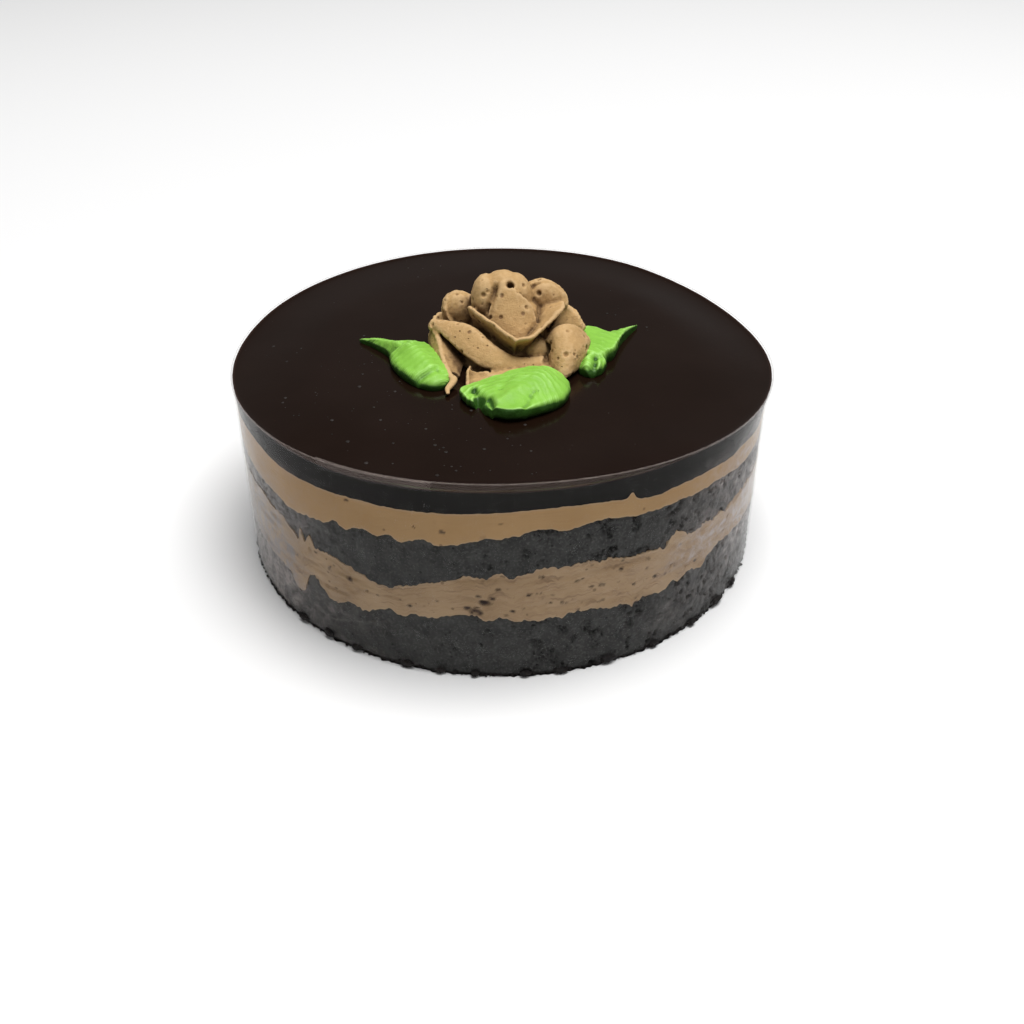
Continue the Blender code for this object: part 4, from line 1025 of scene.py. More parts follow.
# Creases, which sink towards the core: line, half width and depth. Holes: mouth, radius, depth
# and way in.
ROSE_CORE = (0.8, 4.0, 12.5)
ROSE_CREASES = (
    (((-1.0, 0.2, 20.9), (-1.9, -1.8, 18.1), (-2.9, -3.6, 14.7), (-4.0, -5.0, 11.5)), 1.1, 1.5),
    (((2.6, 0.4, 22.1), (2.7, -0.4, 20.1), (3.9, -0.6, 19.5)), 0.7, 0.5),
)
# Hollows: middle, half sizes and how much painted shade darkens the buttercream there.
ROSE_SHADED_HOLLOWS = (((-13.0, -11.0, 1.8), (3.8, 10.5, 3.4), 1.6),
                ((-6.5, -16.0, 0.8), (5.5, 6.5, 2.8), 0.8),
                ((-8.5, -7.5, 9.0), (4.5, 4.0, 3.0), 0.15),
                ((-2.2, -4.6, 13.0), (1.6, 1.6, 3.5), 0.35))
ROSE_HOLES = (((2.5, -0.6, 20.0), 0.8, 3.2, (0.1, 0.72, -0.7)),)
TORN_EDGE = ((0.16, 2.3), (0.12, 5.1), (0.07, 9.7), (0.05, 17))  # depth, waves along a petal


def away_from_heart(points):
    """Level directions away from the rose's own axis."""
    away = points - np.array([*ROSE_CENTRE, 0.0])
    away[..., 2] = 0
    return unit(away)


def petal_sheet(petal, seed, across=71, up=27):
    """A closed thick sheet in mm from foot to rim, or over the rim to a lip; its edge is torn."""
    draw = np.random.default_rng(seed)
    x = np.linspace(0, 1, across)
    foot, rim = through(petal["foot"], x), through(petal["rim"], x)
    torn = sum(a * np.sin(2 * math.pi * (x * waves * draw.uniform(0.8, 1.2) + draw.random()))
               for a, waves in TORN_EDGE)
    torn = ((torn + 0.05 * draw.uniform(-1, 1, across)) * petal.get("torn", 1.0))[:, None]
    middle = (foot + rim) / 2
    out = away_from_heart(middle)
    stops = [foot, middle + out * petal["bulge"], rim]
    if "lip" in petal:
        lip = through(petal["lip"], x)
        middle = (rim + lip) / 2
        push = away_from_heart(middle) * 0.8 + [0, 0, 0.6]
        stops += [middle + push * petal["lip_bulge"], lip + [0, 0, 0.6] * torn]
    else:
        stops[2] = rim + ([0, 0, 1.0] + 0.4 * out) * torn
    stops = np.stack(stops)
    rise = np.linspace(0, 1, up)
    grid = np.stack([through(stops[:, i], rise) for i in range(across)])
    normal = unit(np.cross(np.gradient(grid, axis=0), np.gradient(grid, axis=1)))
    share = rise[None, :, None]
    thick, thin = petal["thick"]
    half = 0.5 * ((thick - thin) * (1 - share) ** 1.5 + thin)
    half = half * np.sqrt(1 - 0.75 * np.clip((share - 0.94) / 0.06, 0, 1) ** 2)
    points = np.stack([grid + normal * half, grid - normal * half]).reshape(-1, 3)
    return points, sheet_faces(across, up)


def turned_body(rings, centre, sides=56):
    """A closed body from level rings: (half width, half depth, height), in mm."""
    turn = np.arange(sides) * 2 * math.pi / sides
    return capped([np.stack([centre[0] + wide * np.sin(turn), centre[1] - deep * np.cos(turn),
                             np.full(sides, float(height))], -1) for wide, deep, height in rings])


def lobe_body(centre, half):
    """A rounded lobe in mm."""
    wide, deep, tall = half
    return turned_body([(wide * math.sin(t), deep * math.sin(t), centre[2] - tall * math.cos(t))
                        for t in np.linspace(0.03, math.pi - 0.03, 25)], centre)


def strand_body(line, stops=41, sides=12):
    """A thin strand of changing thickness swept along its points, in mm."""
    values = through(line, np.linspace(0, 1, stops))
    spine, half = values[:, :3], values[:, 3:]
    way = unit(np.gradient(spine, axis=0))
    beside = unit(np.cross(way, [0, 0, 1.0]))
    over = np.cross(beside, way)
    turn = np.arange(sides) * 2 * math.pi / sides
    return capped(spine[:, None] + beside[:, None] * (half * np.cos(turn))[..., None]
                  + over[:, None] * (0.8 * half * np.sin(turn))[..., None])


def joined(parts):
    """Several shapes, in mm over the poured top, as one list of points and faces in metres."""
    points, faces, offset = [], [], 0
    for some_points, some_faces in parts:
        points.append(some_points)
        faces += [tuple(index + offset for index in face) for face in some_faces]
        offset += len(some_points)
    return np.concatenate(points) * MM + [0, 0, LEVEL], faces


def carve_rose(points):
    """Sinks the creases and the hole of the bud into its skin; points in mm over the top."""
    points = points.copy()
    for line, half_width, depth in ROSE_CREASES:
        stops = through(line, np.linspace(0, 1, 40))
        reach = 3 * half_width
        near = np.where(np.all((points > stops.min(0) - reach) & (points < stops.max(0) + reach),
                               axis=1))[0]
        far = np.linalg.norm(points[near][:, None] - stops[None], axis=2)
        along = np.clip(far.argmin(1) / (len(stops) - 1), 0.02, 0.98)
        fade = np.clip(np.sin(math.pi * along) * 1.8, 0, 1)
        sink = np.exp(-(far.min(1) / half_width) ** 2) * depth * fade
        points[near] += unit(np.array(ROSE_CORE) - points[near]) * sink[:, None]
    for mouth, radius, depth, way in ROSE_HOLES:
        way = unit(np.array(way))
        from_mouth = points - np.array(mouth)
        along = from_mouth @ way
        aside = np.linalg.norm(from_mouth - along[:, None] * way, axis=1)
        inside = (np.abs(along) < 4) & (aside < 2.4 * radius)
        sink = np.where(inside, 1 / (1 + np.exp((aside - radius) / (0.16 * radius))), 0)
        points += way * (sink * depth)[:, None]
    return points


def dig_pits(mesh, seed, count, radius_range, depth_range, keep_above):
    """Sinks small round air holes into a fine skin."""
    points, normals = mesh_points(mesh), mesh_normals(mesh)
    draw = np.random.default_rng(seed)
    moved = points.copy()
    able = np.where(points[:, 2] > keep_above)[0]
    for index in draw.choice(able, count, replace=False):
        radius = (radius_range[0] + (radius_range[1] - radius_range[0]) * draw.random() ** 2) * MM
        deep = draw.uniform(*depth_range) * radius
        far = np.linalg.norm(points - points[index], axis=1) / radius
        near = far < 1
        moved[near] -= normals[index] * (deep * (1 - far[near] ** 2)[:, None])
    set_points(mesh, moved)


FOLD_RAYS = 14
GOLDEN_TURN = 2.399963           # radians between one ray of the fan and the next
SKIN_GAP = 0.12 * MM             # between the skin and where its rays start
GLAZE_SHADE = 2.8 * MM           # height over the glaze where its painted shade fades
CALM_PASSES = 7
RIDGE_HEIGHT = 0.09 * MM         # over the calmed skin


def shut_in(points, normals, tree, reach):
    """Share of a fan of rays from each point that soon meets the skin or the glaze."""
    turn = GOLDEN_TURN * np.arange(FOLD_RAYS)
    lift = 1 - (np.arange(FOLD_RAYS) + 0.5) / FOLD_RAYS
    flat = np.sqrt(1 - lift ** 2)
    side = unit(np.cross(normals, np.where(np.abs(normals[:, 2:]) < 0.9, [[0, 0, 1.0]],
                                           [[1.0, 0, 0]])))
    other = np.cross(normals, side)
    starts = points + normals * SKIN_GAP
    shut = np.zeros(len(points))
    for x, y, z in zip(flat * np.cos(turn), flat * np.sin(turn), lift):
        way = side * x + other * y + normals * z
        hits = [tree.ray_cast(start, ray, reach)[3]
                for start, ray in zip(starts.tolist(), way.tolist())]
        near = np.array([reach if far is None else far for far in hits])
        to_glaze = np.maximum(starts[:, 2] - LEVEL, 0) / np.maximum(-way[:, 2], 1e-6)
        shut += (1 - np.minimum(np.minimum(near, to_glaze) / reach, 1)) * z
    return shut / lift.sum()


def stands_out(mesh, points, normals):
    """How far each point stands over its calmed neighbours, in ridge heights."""
    one, two = read(mesh.edges, "vertices", 2, np.int32).T
    shares = np.bincount(np.concatenate([one, two]), minlength=len(points))[:, None]
    calm = points
    for _ in range(CALM_PASSES):
        calm = np.stack([np.bincount(one, calm[two, k], len(points))
                         + np.bincount(two, calm[one, k], len(points)) for k in range(3)],
                        -1) / shares
    return ((points - calm) * normals).sum(1) / RIDGE_HEIGHT


def paint_folds(mesh, reach, foot, shaded_hollows):
    """Painted shade where a skin is shut in by folds and the glaze round it, in creases, in listed
    hollow places and on sides that do not face up, and a painted highlight where it stands out as a
    ridge."""
    points, normals = mesh_points(mesh), mesh_normals(mesh)
    tree = BVHTree.FromPolygons(points.tolist(), [tuple(face.vertices) for face in mesh.polygons])
    facing_up = np.clip(normals[:, 2], 0, 1)
    # painted shade where a fan of rays soon meets the skin or the glaze
    shut = shut_in(points, normals, tree, reach)
    low = np.exp(-((points[:, 2] - LEVEL) / GLAZE_SHADE) ** 2)
    # painted shade low down by the glaze
    shut += foot * low * (1 - 0.6 * facing_up)
    rise = stands_out(mesh, points, normals)
    # painted highlight on ridges
    paint(mesh, "ridge", np.clip(rise - 0.3, 0, 1))
    # painted shade in creases and on sides that do not face up
    shut += 0.22 * np.clip(-rise - 0.2, 0, 1.5) + 0.12 * (1 - facing_up)
    # painted shade in the listed hollows
    for centre, half, amount in shaded_hollows:
        away = (points / MM - np.array([0, 0, LEVEL / MM]) - centre) / half
        shut += amount * np.exp(-2 * (away ** 2).sum(1)) * (1 - 0.8 * facing_up ** 2)
    # the sum is all painted shade
    paint(mesh, "fold", shut)


def rose_piece(material):
    parts = [petal_sheet(petal, 900 + index) for index, petal in enumerate(PETALS.values())]
    parts += [lobe_body(*lobe) for lobe in LOBES.values()]
    parts.append(turned_body([(radius, radius, height) for radius, height in ROSE_HEART],
                             ROSE_CENTRE))
    parts.append(strand_body(STRAND))
    points, faces = joined(parts)
    points[:, 2] = np.maximum(points[:, 2], LEVEL - SUNK)
    piece = make_piece("rose", points, faces, material)
    outward(piece)
    fused(piece, ROSE_SKIN, softness=2)
    mesh = piece.data
    points = carve_rose((mesh_points(mesh) - [0, 0, LEVEL]) / MM) * MM + [0, 0, LEVEL]
    set_points(mesh, points)
    swell = sum(amount * space_noise(points, cell, seed)
                for amount, cell, seed in ((0.12, 3.0, 41), (0.08, 1.3, 42), (0.05, 0.7, 43)))
    set_points(mesh, points + mesh_normals(mesh) * (swell * MM)[:, None])
    dig_pits(mesh, seed=44, count=170, radius_range=(0.35, 0.95), depth_range=(0.5, 0.9),
             keep_above=LEVEL + 1 * MM)
    points = mesh_points(mesh)
    points[:, 2] = np.clip(points[:, 2], LEVEL - SUNK, CAD_BOX[1][2] - 0.02 * MM)
    set_points(mesh, points)
    # painted shade in folds and hollows, painted highlight on ridges
    paint_folds(mesh, reach=11 * MM, foot=0.1, shaded_hollows=ROSE_SHADED_HOLLOWS)
    mesh.shade_smooth()
    ride_and_stand_for(piece, "mocha_buttercream", "rose")


# ---- the leaves -------------------------------------------------------------------
# Outline: x, y, height of the side there, share of the way to the spine where the side has
# turned over, and how far the foot is tucked in. Spine: x, y and height of the crown.
# Crease: x, y of both ends, depth and half width. Arcs: centre x, y, pitch, depth. In mm.
# Hollows: middle, half sizes and how much painted shade darkens the icing there.
LEAVES = {
    "leaf_left": dict(
        outline=((-41.3, 4.6, 1.2, 0.1, 0.07), (-37.2, 1.0, 1.7, 0.1, 0.07),
                 (-32.3, -4.8, 2.2, 0.15, 0.07), (-31.4, -8.0, 2.8, 0.25, 0.07),
                 (-30.3, -13.0, 3.2, 0.25, 0.07), (-27.4, -18.4, 3.4, 0.25, 0.07),
                 (-23.2, -23.2, 3.2, 0.3, 0.07), (-18.4, -25.6, 2.8, 0.3, 0.07),
                 (-14.6, -24.2, 2.8, 0.25, 0.07), (-13.6, -19.4, 3.2, 0.2, 0.07),
                 (-16.0, -12.0, 3.4, 0.2, 0.07), (-19.0, -4.8, 3.6, 0.2, 0.07),
                 (-22.6, -1.4, 3.8, 0.2, 0.07), (-26.8, -1.0, 3.0, 0.15, 0.07),
                 (-30.4, 0.2, 2.6, 0.1, 0.07), (-35.0, 3.0, 2.2, 0.1, 0.07)),
        spine=((-34.0, -0.4, 3.2), (-30.0, -4.0, 4.6), (-25.5, -8.5, 6.6), (-19.0, -19.6, 5.0)),
        creases=((-31.3, -6.8, -26.9, -6.7, 0.9, 1.0), (-17.1, -20.3, -21.9, -23.2, 1.1, 1.2),
                 (-21.5, -1.0, -24.5, -3.6, 0.7, 0.9)),
        arcs=(-38.0, 6.0, 2.1, 0.05),
        shaded_hollows=(((-27.5, -20.5, 0.8), (8, 6, 2.6), 0.5), ((-29.5, -6.5, 3.0), (1.6, 3, 3), 0.3),
                 ((-19, -21.6, 2.5), (2.2, 1.4, 2.6), 0.12), ((-20, -4, 1.5), (5, 6, 2.5), 0.4))),
    "leaf_front": dict(
        outline=((-10.9, -28.4, 2.9, 0.06, 0.1), (-9.8, -32.0, 2.9, 0.06, 0.14),
                 (-7.6, -35.0, 2.7, 0.08, 0.14), (-5.3, -35.8, 2.4, 0.12, 0.1),
                 (-3.9, -38.4, 3.3, 0.07, 0.12), (-1.6, -41.0, 3.9, 0.05, 0.17),
                 (1.8, -42.6, 4.1, 0.05, 0.19), (5.4, -42.2, 4.1, 0.05, 0.18),
                 (9.0, -40.4, 3.9, 0.09, 0.14), (13.0, -37.8, 3.8, 0.16, 0.1),
                 (16.4, -34.6, 3.8, 0.22, 0.08), (18.4, -30.4, 3.8, 0.25, 0.07),
                 (18.7, -25.6, 3.8, 0.25, 0.07), (16.8, -21.2, 4.2, 0.2, 0.07),
                 (12.0, -18.4, 4.6, 0.15, 0.07), (5.0, -19.0, 4.4, 0.15, 0.07),
                 (-2.0, -22.4, 3.6, 0.15, 0.07), (-7.6, -25.6, 3.0, 0.08, 0.07)),
        spine=((-4.0, -31.0, 3.8), (2.5, -32.0, 5.2), (5.5, -29.0, 6.2), (11.0, -27.0, 6.6)),
        creases=((-4.6, -39.4, -5.2, -34.6, 2.0, 1.2), (-5.2, -34.6, -6.6, -30.2, 1.2, 1.1),
                 (-2.9, -35.4, -2.0, -40.0, 1.3, 1.0), (0.4, -31.5, 2.6, -27.0, 0.5, 1.3),
                 (-0.4, -38.6, 5.0, -33.6, -0.7, 1.7),
                 (6.4, -40.6, 8.2, -34.6, 0.6, 1.0), (-8.4, -33.6, -7.0, -29.6, 0.5, 0.8)),
        arcs=(2.0, -39.0, 2.0, 0.08),
        shaded_hollows=(((2.0, -42.4, 2.0), (7, 3.6, 3.4), 1.3), ((12, -39, 1.2), (8, 4.5, 3.2), 0.8),
                 ((-2.6, -37.6, 2.4), (1.5, 3.0, 2.6), 0.9),
                 ((-4.8, -36.4, 2.0), (2.0, 4.0, 2.8), 0.8),
                 ((-8.5, -34.5, 0.8), (4, 3.5, 2.2), 0.4))),
    "leaf_right": dict(
        outline=((40.4, 14.0, 1.4, 0.1, 0.05), (37.9, 9.4, 2.2, 0.1, 0.07),
                 (35.0, 3.2, 3.2, 0.1, 0.09), (33.4, -2.4, 3.8, 0.12, 0.1),
                 (32.0, -6.8, 4.0, 0.15, 0.1), (29.9, -8.8, 4.0, 0.3, 0.08),
                 (29.2, -13.4, 4.2, 0.4, 0.06), (27.4, -16.6, 4.2, 0.45, 0.05),
                 (24.6, -17.8, 4.2, 0.45, 0.05), (22.0, -15.8, 4.0, 0.4, 0.06),
                 (20.6, -9.0, 4.0, 0.2, 0.07), (21.6, 0.0, 4.0, 0.2, 0.07),
                 (24.0, 7.6, 4.0, 0.15, 0.07), (27.2, 7.2, 3.8, 0.12, 0.07),
                 (30.2, 4.6, 3.4, 0.12, 0.07), (35.4, 8.2, 2.9, 0.1, 0.07)),
        spine=((35.6, 6.0, 3.2), (31.0, 1.0, 4.2), (28.4, -3.4, 4.6), (26.0, -10.6, 4.6)),
        creases=((24.6, -19.6, 26.4, -12.6, 1.5, 1.1), (33.0, -8.6, 29.6, -10.8, 1.6, 0.9),
                 (21.8, -17.0, 23.4, -11.0, 0.9, 0.9), (28.4, -17.4, 28.0, -12.0, 0.9, 0.8)),
        arcs=(37.0, 12.0, 2.6, 0.07),
        shaded_hollows=(((25.6, -17.4, 1.2), (1.9, 4, 2.8), 0.25), ((32.0, -8.6, 2), (1.8, 3, 3.0), 0.35),
                 ((24.5, -18.6, 0.8), (6, 3, 2.6), 0.5), ((36, 3, 1), (3, 6, 2.4), 0.4))),
}


UPRIGHT = 0.45                   # share of a leaf's side that stands before it turns over
TOP_TO = 0.94                    # share of the way to the spine where the top is capped


def leaf_body(shape, count=300):
    """Closed mound on a measured outline, in mm: tucked foot, rounded side, crowned top."""
    outline = closed_curve(shape["outline"], count)
    inward, _ = nearest_on_line(shape["spine"], outline[:, :2])
    side, turn_in, tuck = outline[:, 2:3], outline[:, 3:4], outline[:, 4:5]
    crown = inward[:, 2:3]
    rings = []

    def ring(share, height):
        place = outline[:, :2] + (inward[:, :2] - outline[:, :2]) * share
        rings.append(np.concatenate([place, height], 1))

    ring(tuck + 0.04, np.full((count, 1), -0.5))
    for q in np.linspace(0, 1, 7):
        ring(tuck * (1 - math.sin(q * math.pi / 2)), side * UPRIGHT * q)
    for q in np.linspace(0, 1, 10)[1:]:
        share = turn_in * (1 - math.cos(q * math.pi / 2))
        ring(share, side * (UPRIGHT + (1 - UPRIGHT) * math.sin(q * math.pi / 2))
             + (crown - side) * ease(share))
    for q in np.linspace(0, 1, 19)[1:]:
        share = turn_in + (TOP_TO - turn_in) * q
        ring(share, side + (crown - side) * ease(share))
    return capped(rings)


def carve_leaf(mesh, shape, seed):
    """Faint ridges from the tip, creases between the folds, and fine dragged lines with a painted
    highlight.
    """
    points, normals = mesh_points(mesh), mesh_normals(mesh)
    flat = points[:, :2] / MM

    def noise(cell, extra):
        return space_noise(points, cell, seed + extra)

    *centre, pitch, depth = shape["arcs"]
    far = np.linalg.norm(flat - np.array(centre), axis=1) + 0.9 * noise(5.0, 0)
    ridge = (np.cos(2 * math.pi * far / pitch) * np.clip(far / 12, 0, 1)
             * (0.4 + 0.8 * ease(noise(6.0, 4) + 0.5)))
    fine = np.cos(2 * math.pi * far / (pitch * 0.31) + 2.5 * noise(4.0, 1))
    fine = fine * ease(noise(4.5, 3) + 0.5)
    lift = depth * ridge + 0.05 * fine + 0.12 * noise(1.6, 2)
    above = np.clip((points[:, 2] - LEVEL) / (1.2 * MM), 0, 1)
    moved = points + normals * (lift * above * MM)[:, None]
    unsteady = flat + 0.5 * noise(2.6, 6)[:, None]
    for x0, y0, x1, y1, deep, half_width in shape["creases"]:
        _, away = nearest_on_line(((x0, y0), (x1, y1)), unsteady)
        moved[:, 2] -= deep * MM * np.exp(-(away / half_width) ** 2) * above
    moved[:, 2] = np.maximum(moved[:, 2], LEVEL - 0.5 * MM)
    set_points(mesh, moved)
    # painted highlight along the fine dragged lines
    paint(mesh, "drag_highlight", np.clip(0.5 * fine * above, 0, 1) * 0.30)


def leaf_piece(name, shape, material, seed):
    points, faces = joined([leaf_body(shape)])
    piece = make_piece(name, points, faces, material)
    outward(piece)
    fused(piece, LEAF_SKIN, softness=3)
    carve_leaf(piece.data, shape, seed)
    # painted shade in folds and hollows, painted highlight on ridges
    paint_folds(piece.data, reach=6 * MM, foot=0.7, shaded_hollows=shape["shaded_hollows"])
    piece.data.shade_smooth()
    ride_and_stand_for(piece, "green_icing", name)


# ---- scattered crumbs and bubbles ---------------------------------------------------
SCATTER_INPUTS = dict(
    Int=("Count", "Seed", "Detail"),
    Float=("Angle From", "Angle To", "Radius From", "Radius To", "Height From", "Height To",
           "Size From", "Size To", "Small Ones", "Roughness", "Tumble"),
    Vector=("Stretch",), Material=("Material",))


def scatter_tree():
    """Small lumps scattered over a ring, a band of the side or the top."""
    tree = bpy.data.node_groups.new("scattered_lumps", "GeometryNodeTree")
    for kind, labels in SCATTER_INPUTS.items():
        for label in labels:
            tree.interface.new_socket(label, in_out="INPUT", socket_type="NodeSocket" + kind)
    tree.interface.new_socket("Geometry", in_out="OUTPUT", socket_type="NodeSocketGeometry")
    n = Nodes(tree)
    given = n.add("NodeGroupInput").outputs

    def draw(low, high, extra, kind="FLOAT"):
        first, out = (2, 1) if kind == "FLOAT" else (0, 0)
        seed = n.plus(given["Seed"], float(extra))
        return n.add("FunctionNodeRandomValue", {first: low, first + 1: high, "Seed": seed},
                     data_type=kind).outputs[out]

    def scaled(vector, share):
        return n.add("ShaderNodeVectorMath", {0: vector, "Scale": share}, operation="SCALE")

    angle = n.calc("RADIANS", draw(given["Angle From"], given["Angle To"], 1))
    squares = [n.times(given[key], given[key]) for key in ("Radius From", "Radius To")]
    radius = n.calc("SQRT", draw(*squares, 2))
    spot = n.add("ShaderNodeCombineXYZ", {
        0: n.times(radius, n.calc("SINE", angle)),
        1: n.times(n.times(radius, n.calc("COSINE", angle)), -1.0),
        2: draw(given["Height From"], given["Height To"], 3)})
    dots = n.add("GeometryNodePoints", {"Count": given["Count"]})
    placed = n.add("GeometryNodeSetPosition", {"Geometry": dots, "Position": spot})

    lump = n.add("GeometryNodeMeshIcoSphere", {"Radius": 1.0, "Subdivisions": given["Detail"]})
    bulge = n.times(n.calc("SUBTRACT", n.noise(None, 1.5, 2.0, 0.5), 0.5), given["Roughness"])
    push = scaled(n.add("GeometryNodeInputNormal"), bulge)
    shaped = n.add("GeometryNodeSetPosition", {"Geometry": lump, "Offset": push})
    smooth = n.add("GeometryNodeSetShadeSmooth", {"Geometry": shaped})

    tumble = scaled(draw((-3.0,) * 3, (3.0,) * 3, 4, "FLOAT_VECTOR"), given["Tumble"])
    outwards = n.add("ShaderNodeCombineXYZ", {2: angle})
    turn = n.add("ShaderNodeVectorMath", {0: tumble, 1: outwards}, operation="ADD")
    share = n.calc("POWER", draw(0.0, 1.0, 5), given["Small Ones"])
    span = n.times(n.calc("SUBTRACT", given["Size To"], given["Size From"]), share)
    size = scaled(given["Stretch"], n.plus(given["Size From"], span))
    lumps = n.add("GeometryNodeInstanceOnPoints", {
        "Points": placed, "Instance": smooth, "Rotation": turn, "Scale": size})
    real = n.add("GeometryNodeRealizeInstances", {0: lumps})
    dressed = n.add("GeometryNodeSetMaterial", {"Geometry": real, "Material": given["Material"]})
    n.add("NodeGroupOutput", {0: dressed})
    return tree


def scattered_mesh(name, tree, **values):
    """One evaluated lot of lumps as an object with a plain mesh; a pair gives From and To."""
    piece = linked(name, bpy.data.meshes.new(name))
    modifier = piece.modifiers.new("scatter", "NODES")
    modifier.node_group = tree
    sockets = {item.name: item.identifier for item in tree.interface.items_tree
               if item.in_out == "INPUT"}
    for key, value in values.items():
        label = key.replace("_", " ")
        if label in sockets:
            modifier[sockets[label]] = value
        else:
            modifier[sockets[label + " From"]], modifier[sockets[label + " To"]] = value
    piece.update_tag()
    bpy.context.view_layer.update()
    return evaluated_copy(piece)


def gathered(pieces, slot):
    """Several lots made one piece."""
    with bpy.context.temp_override(active_object=pieces[0], selected_editable_objects=pieces,
                                   selected_objects=pieces):
        bpy.ops.object.join()
    return ride_and_stand_for(pieces[0], slot)


# Bigger crumbs at the foot: degrees, height, half sizes along and up, in mm.
BIG_CRUMBS = ((-46.0, 1.7, 1.9, 1.3), (-38.0, 1.9, 1.7, 1.2), (-30.5, 1.5, 1.5, 1.0),
              (-19.0, 1.2, 1.8, 1.1), (-12.0, 1.1, 1.3, 0.8), (-5.0, 1.2, 1.1, 0.9),
              (5.0, 1.2, 1.4, 0.9), (12.0, 1.0, 1.8, 0.9), (22.0, 1.7, 1.9, 1.3),
              (33.0, 1.2, 1.4, 1.0), (44.0, 1.3, 1.3, 1.0), (53.0, 1.8, 2.5, 1.3),
              (61.0, 1.6, 1.6, 1.1))


def foot_crumbs(tree, crumb):
    """The crumbly rim that shows under the film, and bigger crumbs pushed out from it."""
    lots = [scattered_mesh("foot_crumbs", tree, Count=700, Seed=11, Detail=2,
                           Angle=(-180.0, 180.0), Radius=(75.0 * MM, 75.75 * MM),
                           Height=(0.35 * MM, 1.1 * MM), Size=(0.22 * MM, 0.55 * MM),
                           Small_Ones=1.9, Stretch=(1.25, 0.95, 0.85), Roughness=1.1,
                           Tumble=1.0, Material=crumb)]
    for seed, (at, z, along, up) in enumerate(BIG_CRUMBS):
        lots.append(scattered_mesh("big_crumb", tree, Count=1, Seed=40 + seed, Detail=4,
                                   Angle=(at, at), Radius=(75.9 * MM, 75.9 * MM),
                                   Height=(z * MM, z * MM), Size=(1.0 * MM, 1.0 * MM),
                                   Small_Ones=1.0, Stretch=(along, 0.9, up), Roughness=1.3,
                                   Tumble=0.05, Material=crumb))
    piece = gathered(lots, "dark_sponge")
    points = mesh_points(piece.data)
    points[:, 2] = np.maximum(points[:, 2], 0.03 * MM)
    far = np.linalg.norm(points[:, :2], axis=1)
    points[:, :2] *= np.minimum(1.0, (CAD_BOX[1][0] - 0.1 * MM) / far)[:, None]
    set_points(piece.data, points)


def poured_bubbles(tree, skin):
    """Tiny burst bubbles and flecks that sit in the poured top, most of them front left."""
    common = dict(Detail=2, Height=(LEVEL - 0.02 * MM, LEVEL + 0.03 * MM), Small_Ones=2.6,
                  Stretch=(1.0, 1.0, 0.22), Roughness=0.5, Tumble=0.0, Material=skin)
    lots = [scattered_mesh("poured_bubbles", tree, Count=78, Seed=71, Angle=(-95.0, 10.0),
                           Radius=(33.0 * MM, 70.0 * MM), Size=(0.14 * MM, 0.62 * MM),
                           **common),
            scattered_mesh("bubbles_all_round", tree, Count=70, Seed=72,
                           Angle=(-180.0, 180.0), Radius=(24.0 * MM, 71.0 * MM),
                           Size=(0.12 * MM, 0.48 * MM), **common)]
    piece = gathered(lots, "ganache_glaze")
    points = mesh_points(piece.data)
    angle = np.degrees(np.arctan2(points[:, 0], -points[:, 1]))
    points[:, 2] += rise_to_edge(np.linalg.norm(points[:, :2], axis=1), angle)
    set_points(piece.data, points)


# ---- stage ------------------------------------------------------------------------
# Lamps: place, size of the square and power in watts.
LAMPS = dict(top_softbox=((0.30, -0.05, 1.97), 1.3, 50.0),
             front_fill=((-0.35, -1.6, 0.9), 0.8, 2.0))
LAMP_TARGET = (0, 0, 0.05)
WORLD_COLOR = (1.0, 0.99, 0.98)
WORLD_LIGHT = 0.13               # strength of the room's light
WORLD_SEEN = 0.70                # added where the camera sees it
SENSOR = 36.0
FOCAL_PIXELS, PICTURE_WIDTH = 1191.627, 1024  # fitted to the cake's ellipses
CAMERA_SPOT = (0.003124, -0.309792, 0.211951)
CAMERA_TARGET = (0.003124, 0.0, 0.00079)


def aim(holder, spot, target):
    holder.location = spot
    way = Vector(target) - Vector(spot)
    holder.rotation_euler = way.to_track_quat("-Z", "Y").to_euler()


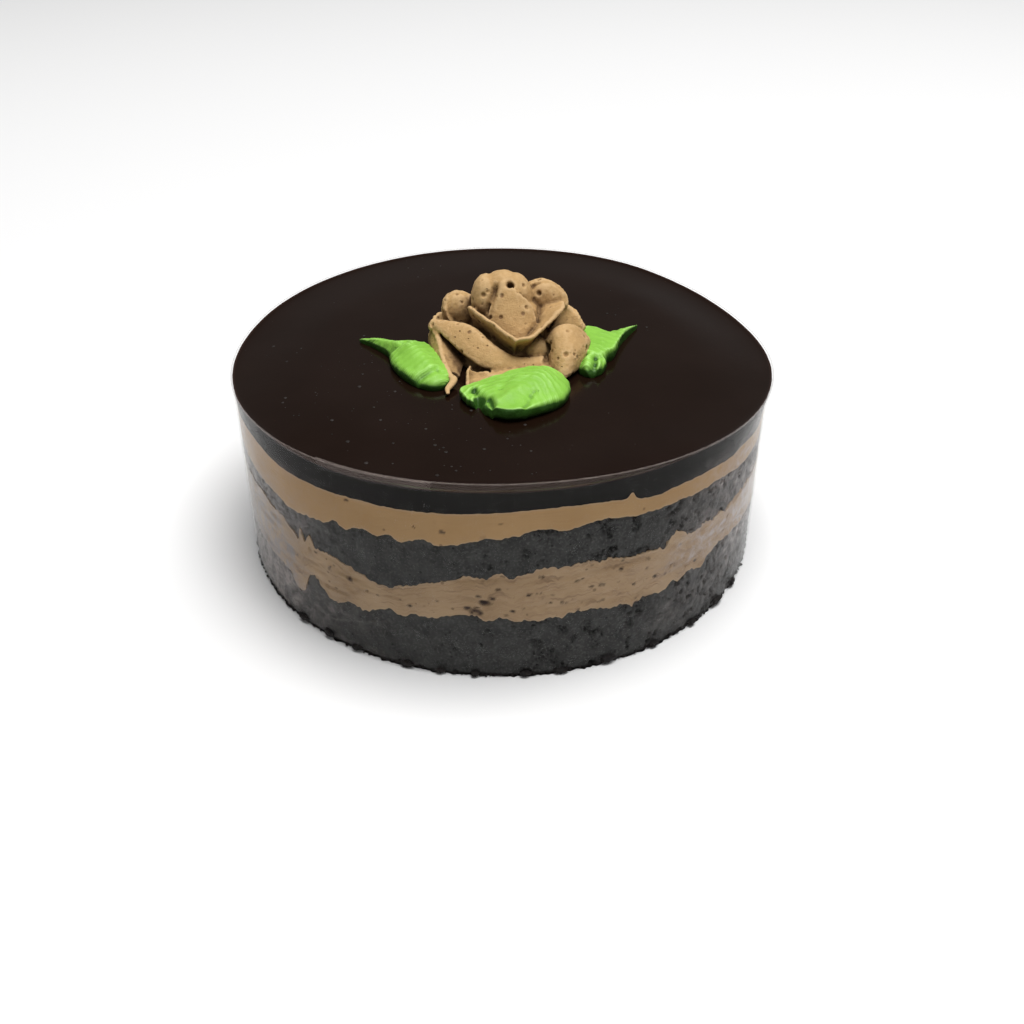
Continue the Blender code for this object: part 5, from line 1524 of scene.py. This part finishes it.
def stage():
    half = 3
    corners = [(-half, -half, 0), (half, -half, 0), (half, half, 0), (-half, half, 0)]
    floor = make_piece("floor", corners, [(0, 1, 2, 3)], floor_material(), smooth=False)
    world = bpy.data.worlds.new("studio")
    world.use_nodes = True
    n = Nodes(world.node_tree)
    seen = n.add("ShaderNodeLightPath").outputs["Is Camera Ray"]
    level = n.add("ShaderNodeMath", {0: seen, 1: WORLD_SEEN, 2: WORLD_LIGHT},
                  operation="MULTIPLY_ADD")
    n.give(world.node_tree.nodes["Background"], {"Color": WORLD_COLOR, "Strength": level})
    bpy.context.scene.world = world
    bpy.context.scene.view_settings.view_transform = "Standard"
    for name, (spot, size, power) in LAMPS.items():
        lamp = bpy.data.lights.new(name, "AREA")
        lamp.shape = "SQUARE"
        lamp.size = size
        lamp.energy = power
        aim(linked(name, lamp), spot, LAMP_TARGET)


def camera():
    lens = bpy.data.cameras.new("camera")
    lens.sensor_width = SENSOR
    lens.lens = FOCAL_PIXELS / PICTURE_WIDTH * SENSOR
    lens.clip_start = 0.01
    holder = linked("camera", lens)
    aim(holder, CAMERA_SPOT, CAMERA_TARGET)
    bpy.context.scene.camera = holder


def main():
    handmade = handmade_group()
    pits = air_pits_group()
    sponge = dark_sponge_material(handmade, pits)
    crumb = loose_crumb_material(handmade)
    cream_plain = cream_material("cocoa_cream_smooth", handmade, pits, **CREAM_PLAIN)
    cream_spread = cream_material("cocoa_cream_spread", handmade, pits, **CREAM_SPREAD)

    foot = np.zeros(COLUMNS)
    lower = seam(CREAM_LOWER_SEAM, 21, (1.6, 0.8, 0.5), 0.52)
    middle = seam(SPONGE_UPPER_SEAM, 31, (1.5, 0.8, 0.5), 0.56)
    upper = seam(CREAM_UPPER_SEAM, 51, (1.6, 0.8, 0.5), 0.30)
    top = seam(GANACHE_SEAM, 61, (2.0, 0.9, 0.5), 0.15)
    layer_piece("sponge_lower", foot, lower, 44, sponge_relief(100, bare_foot=True), sponge,
                "dark_sponge")
    layer_piece("cream_lower", lower, middle, 32, cream_relief(130, 1.0, 230), cream_spread,
                "cocoa_cream")
    layer_piece("sponge_upper", middle, upper, 30, sponge_relief(160), sponge, "dark_sponge")
    layer_piece("cream_upper", upper, top, 18, cream_relief(190, 0.15, 10), cream_plain,
                "cocoa_cream")
    ganache_piece(top, ganache_material(handmade))
    film_piece(film_material())
    rose_piece(buttercream_material(handmade, pits))
    green = green_icing_material(handmade, pits)
    for seed, (name, shape) in enumerate(LEAVES.items()):
        leaf_piece(name, shape, green, 500 + 10 * seed)
    tree = scatter_tree()
    foot_crumbs(tree, crumb)
    poured_bubbles(tree, bubble_material())
    stage()
    camera()


main()
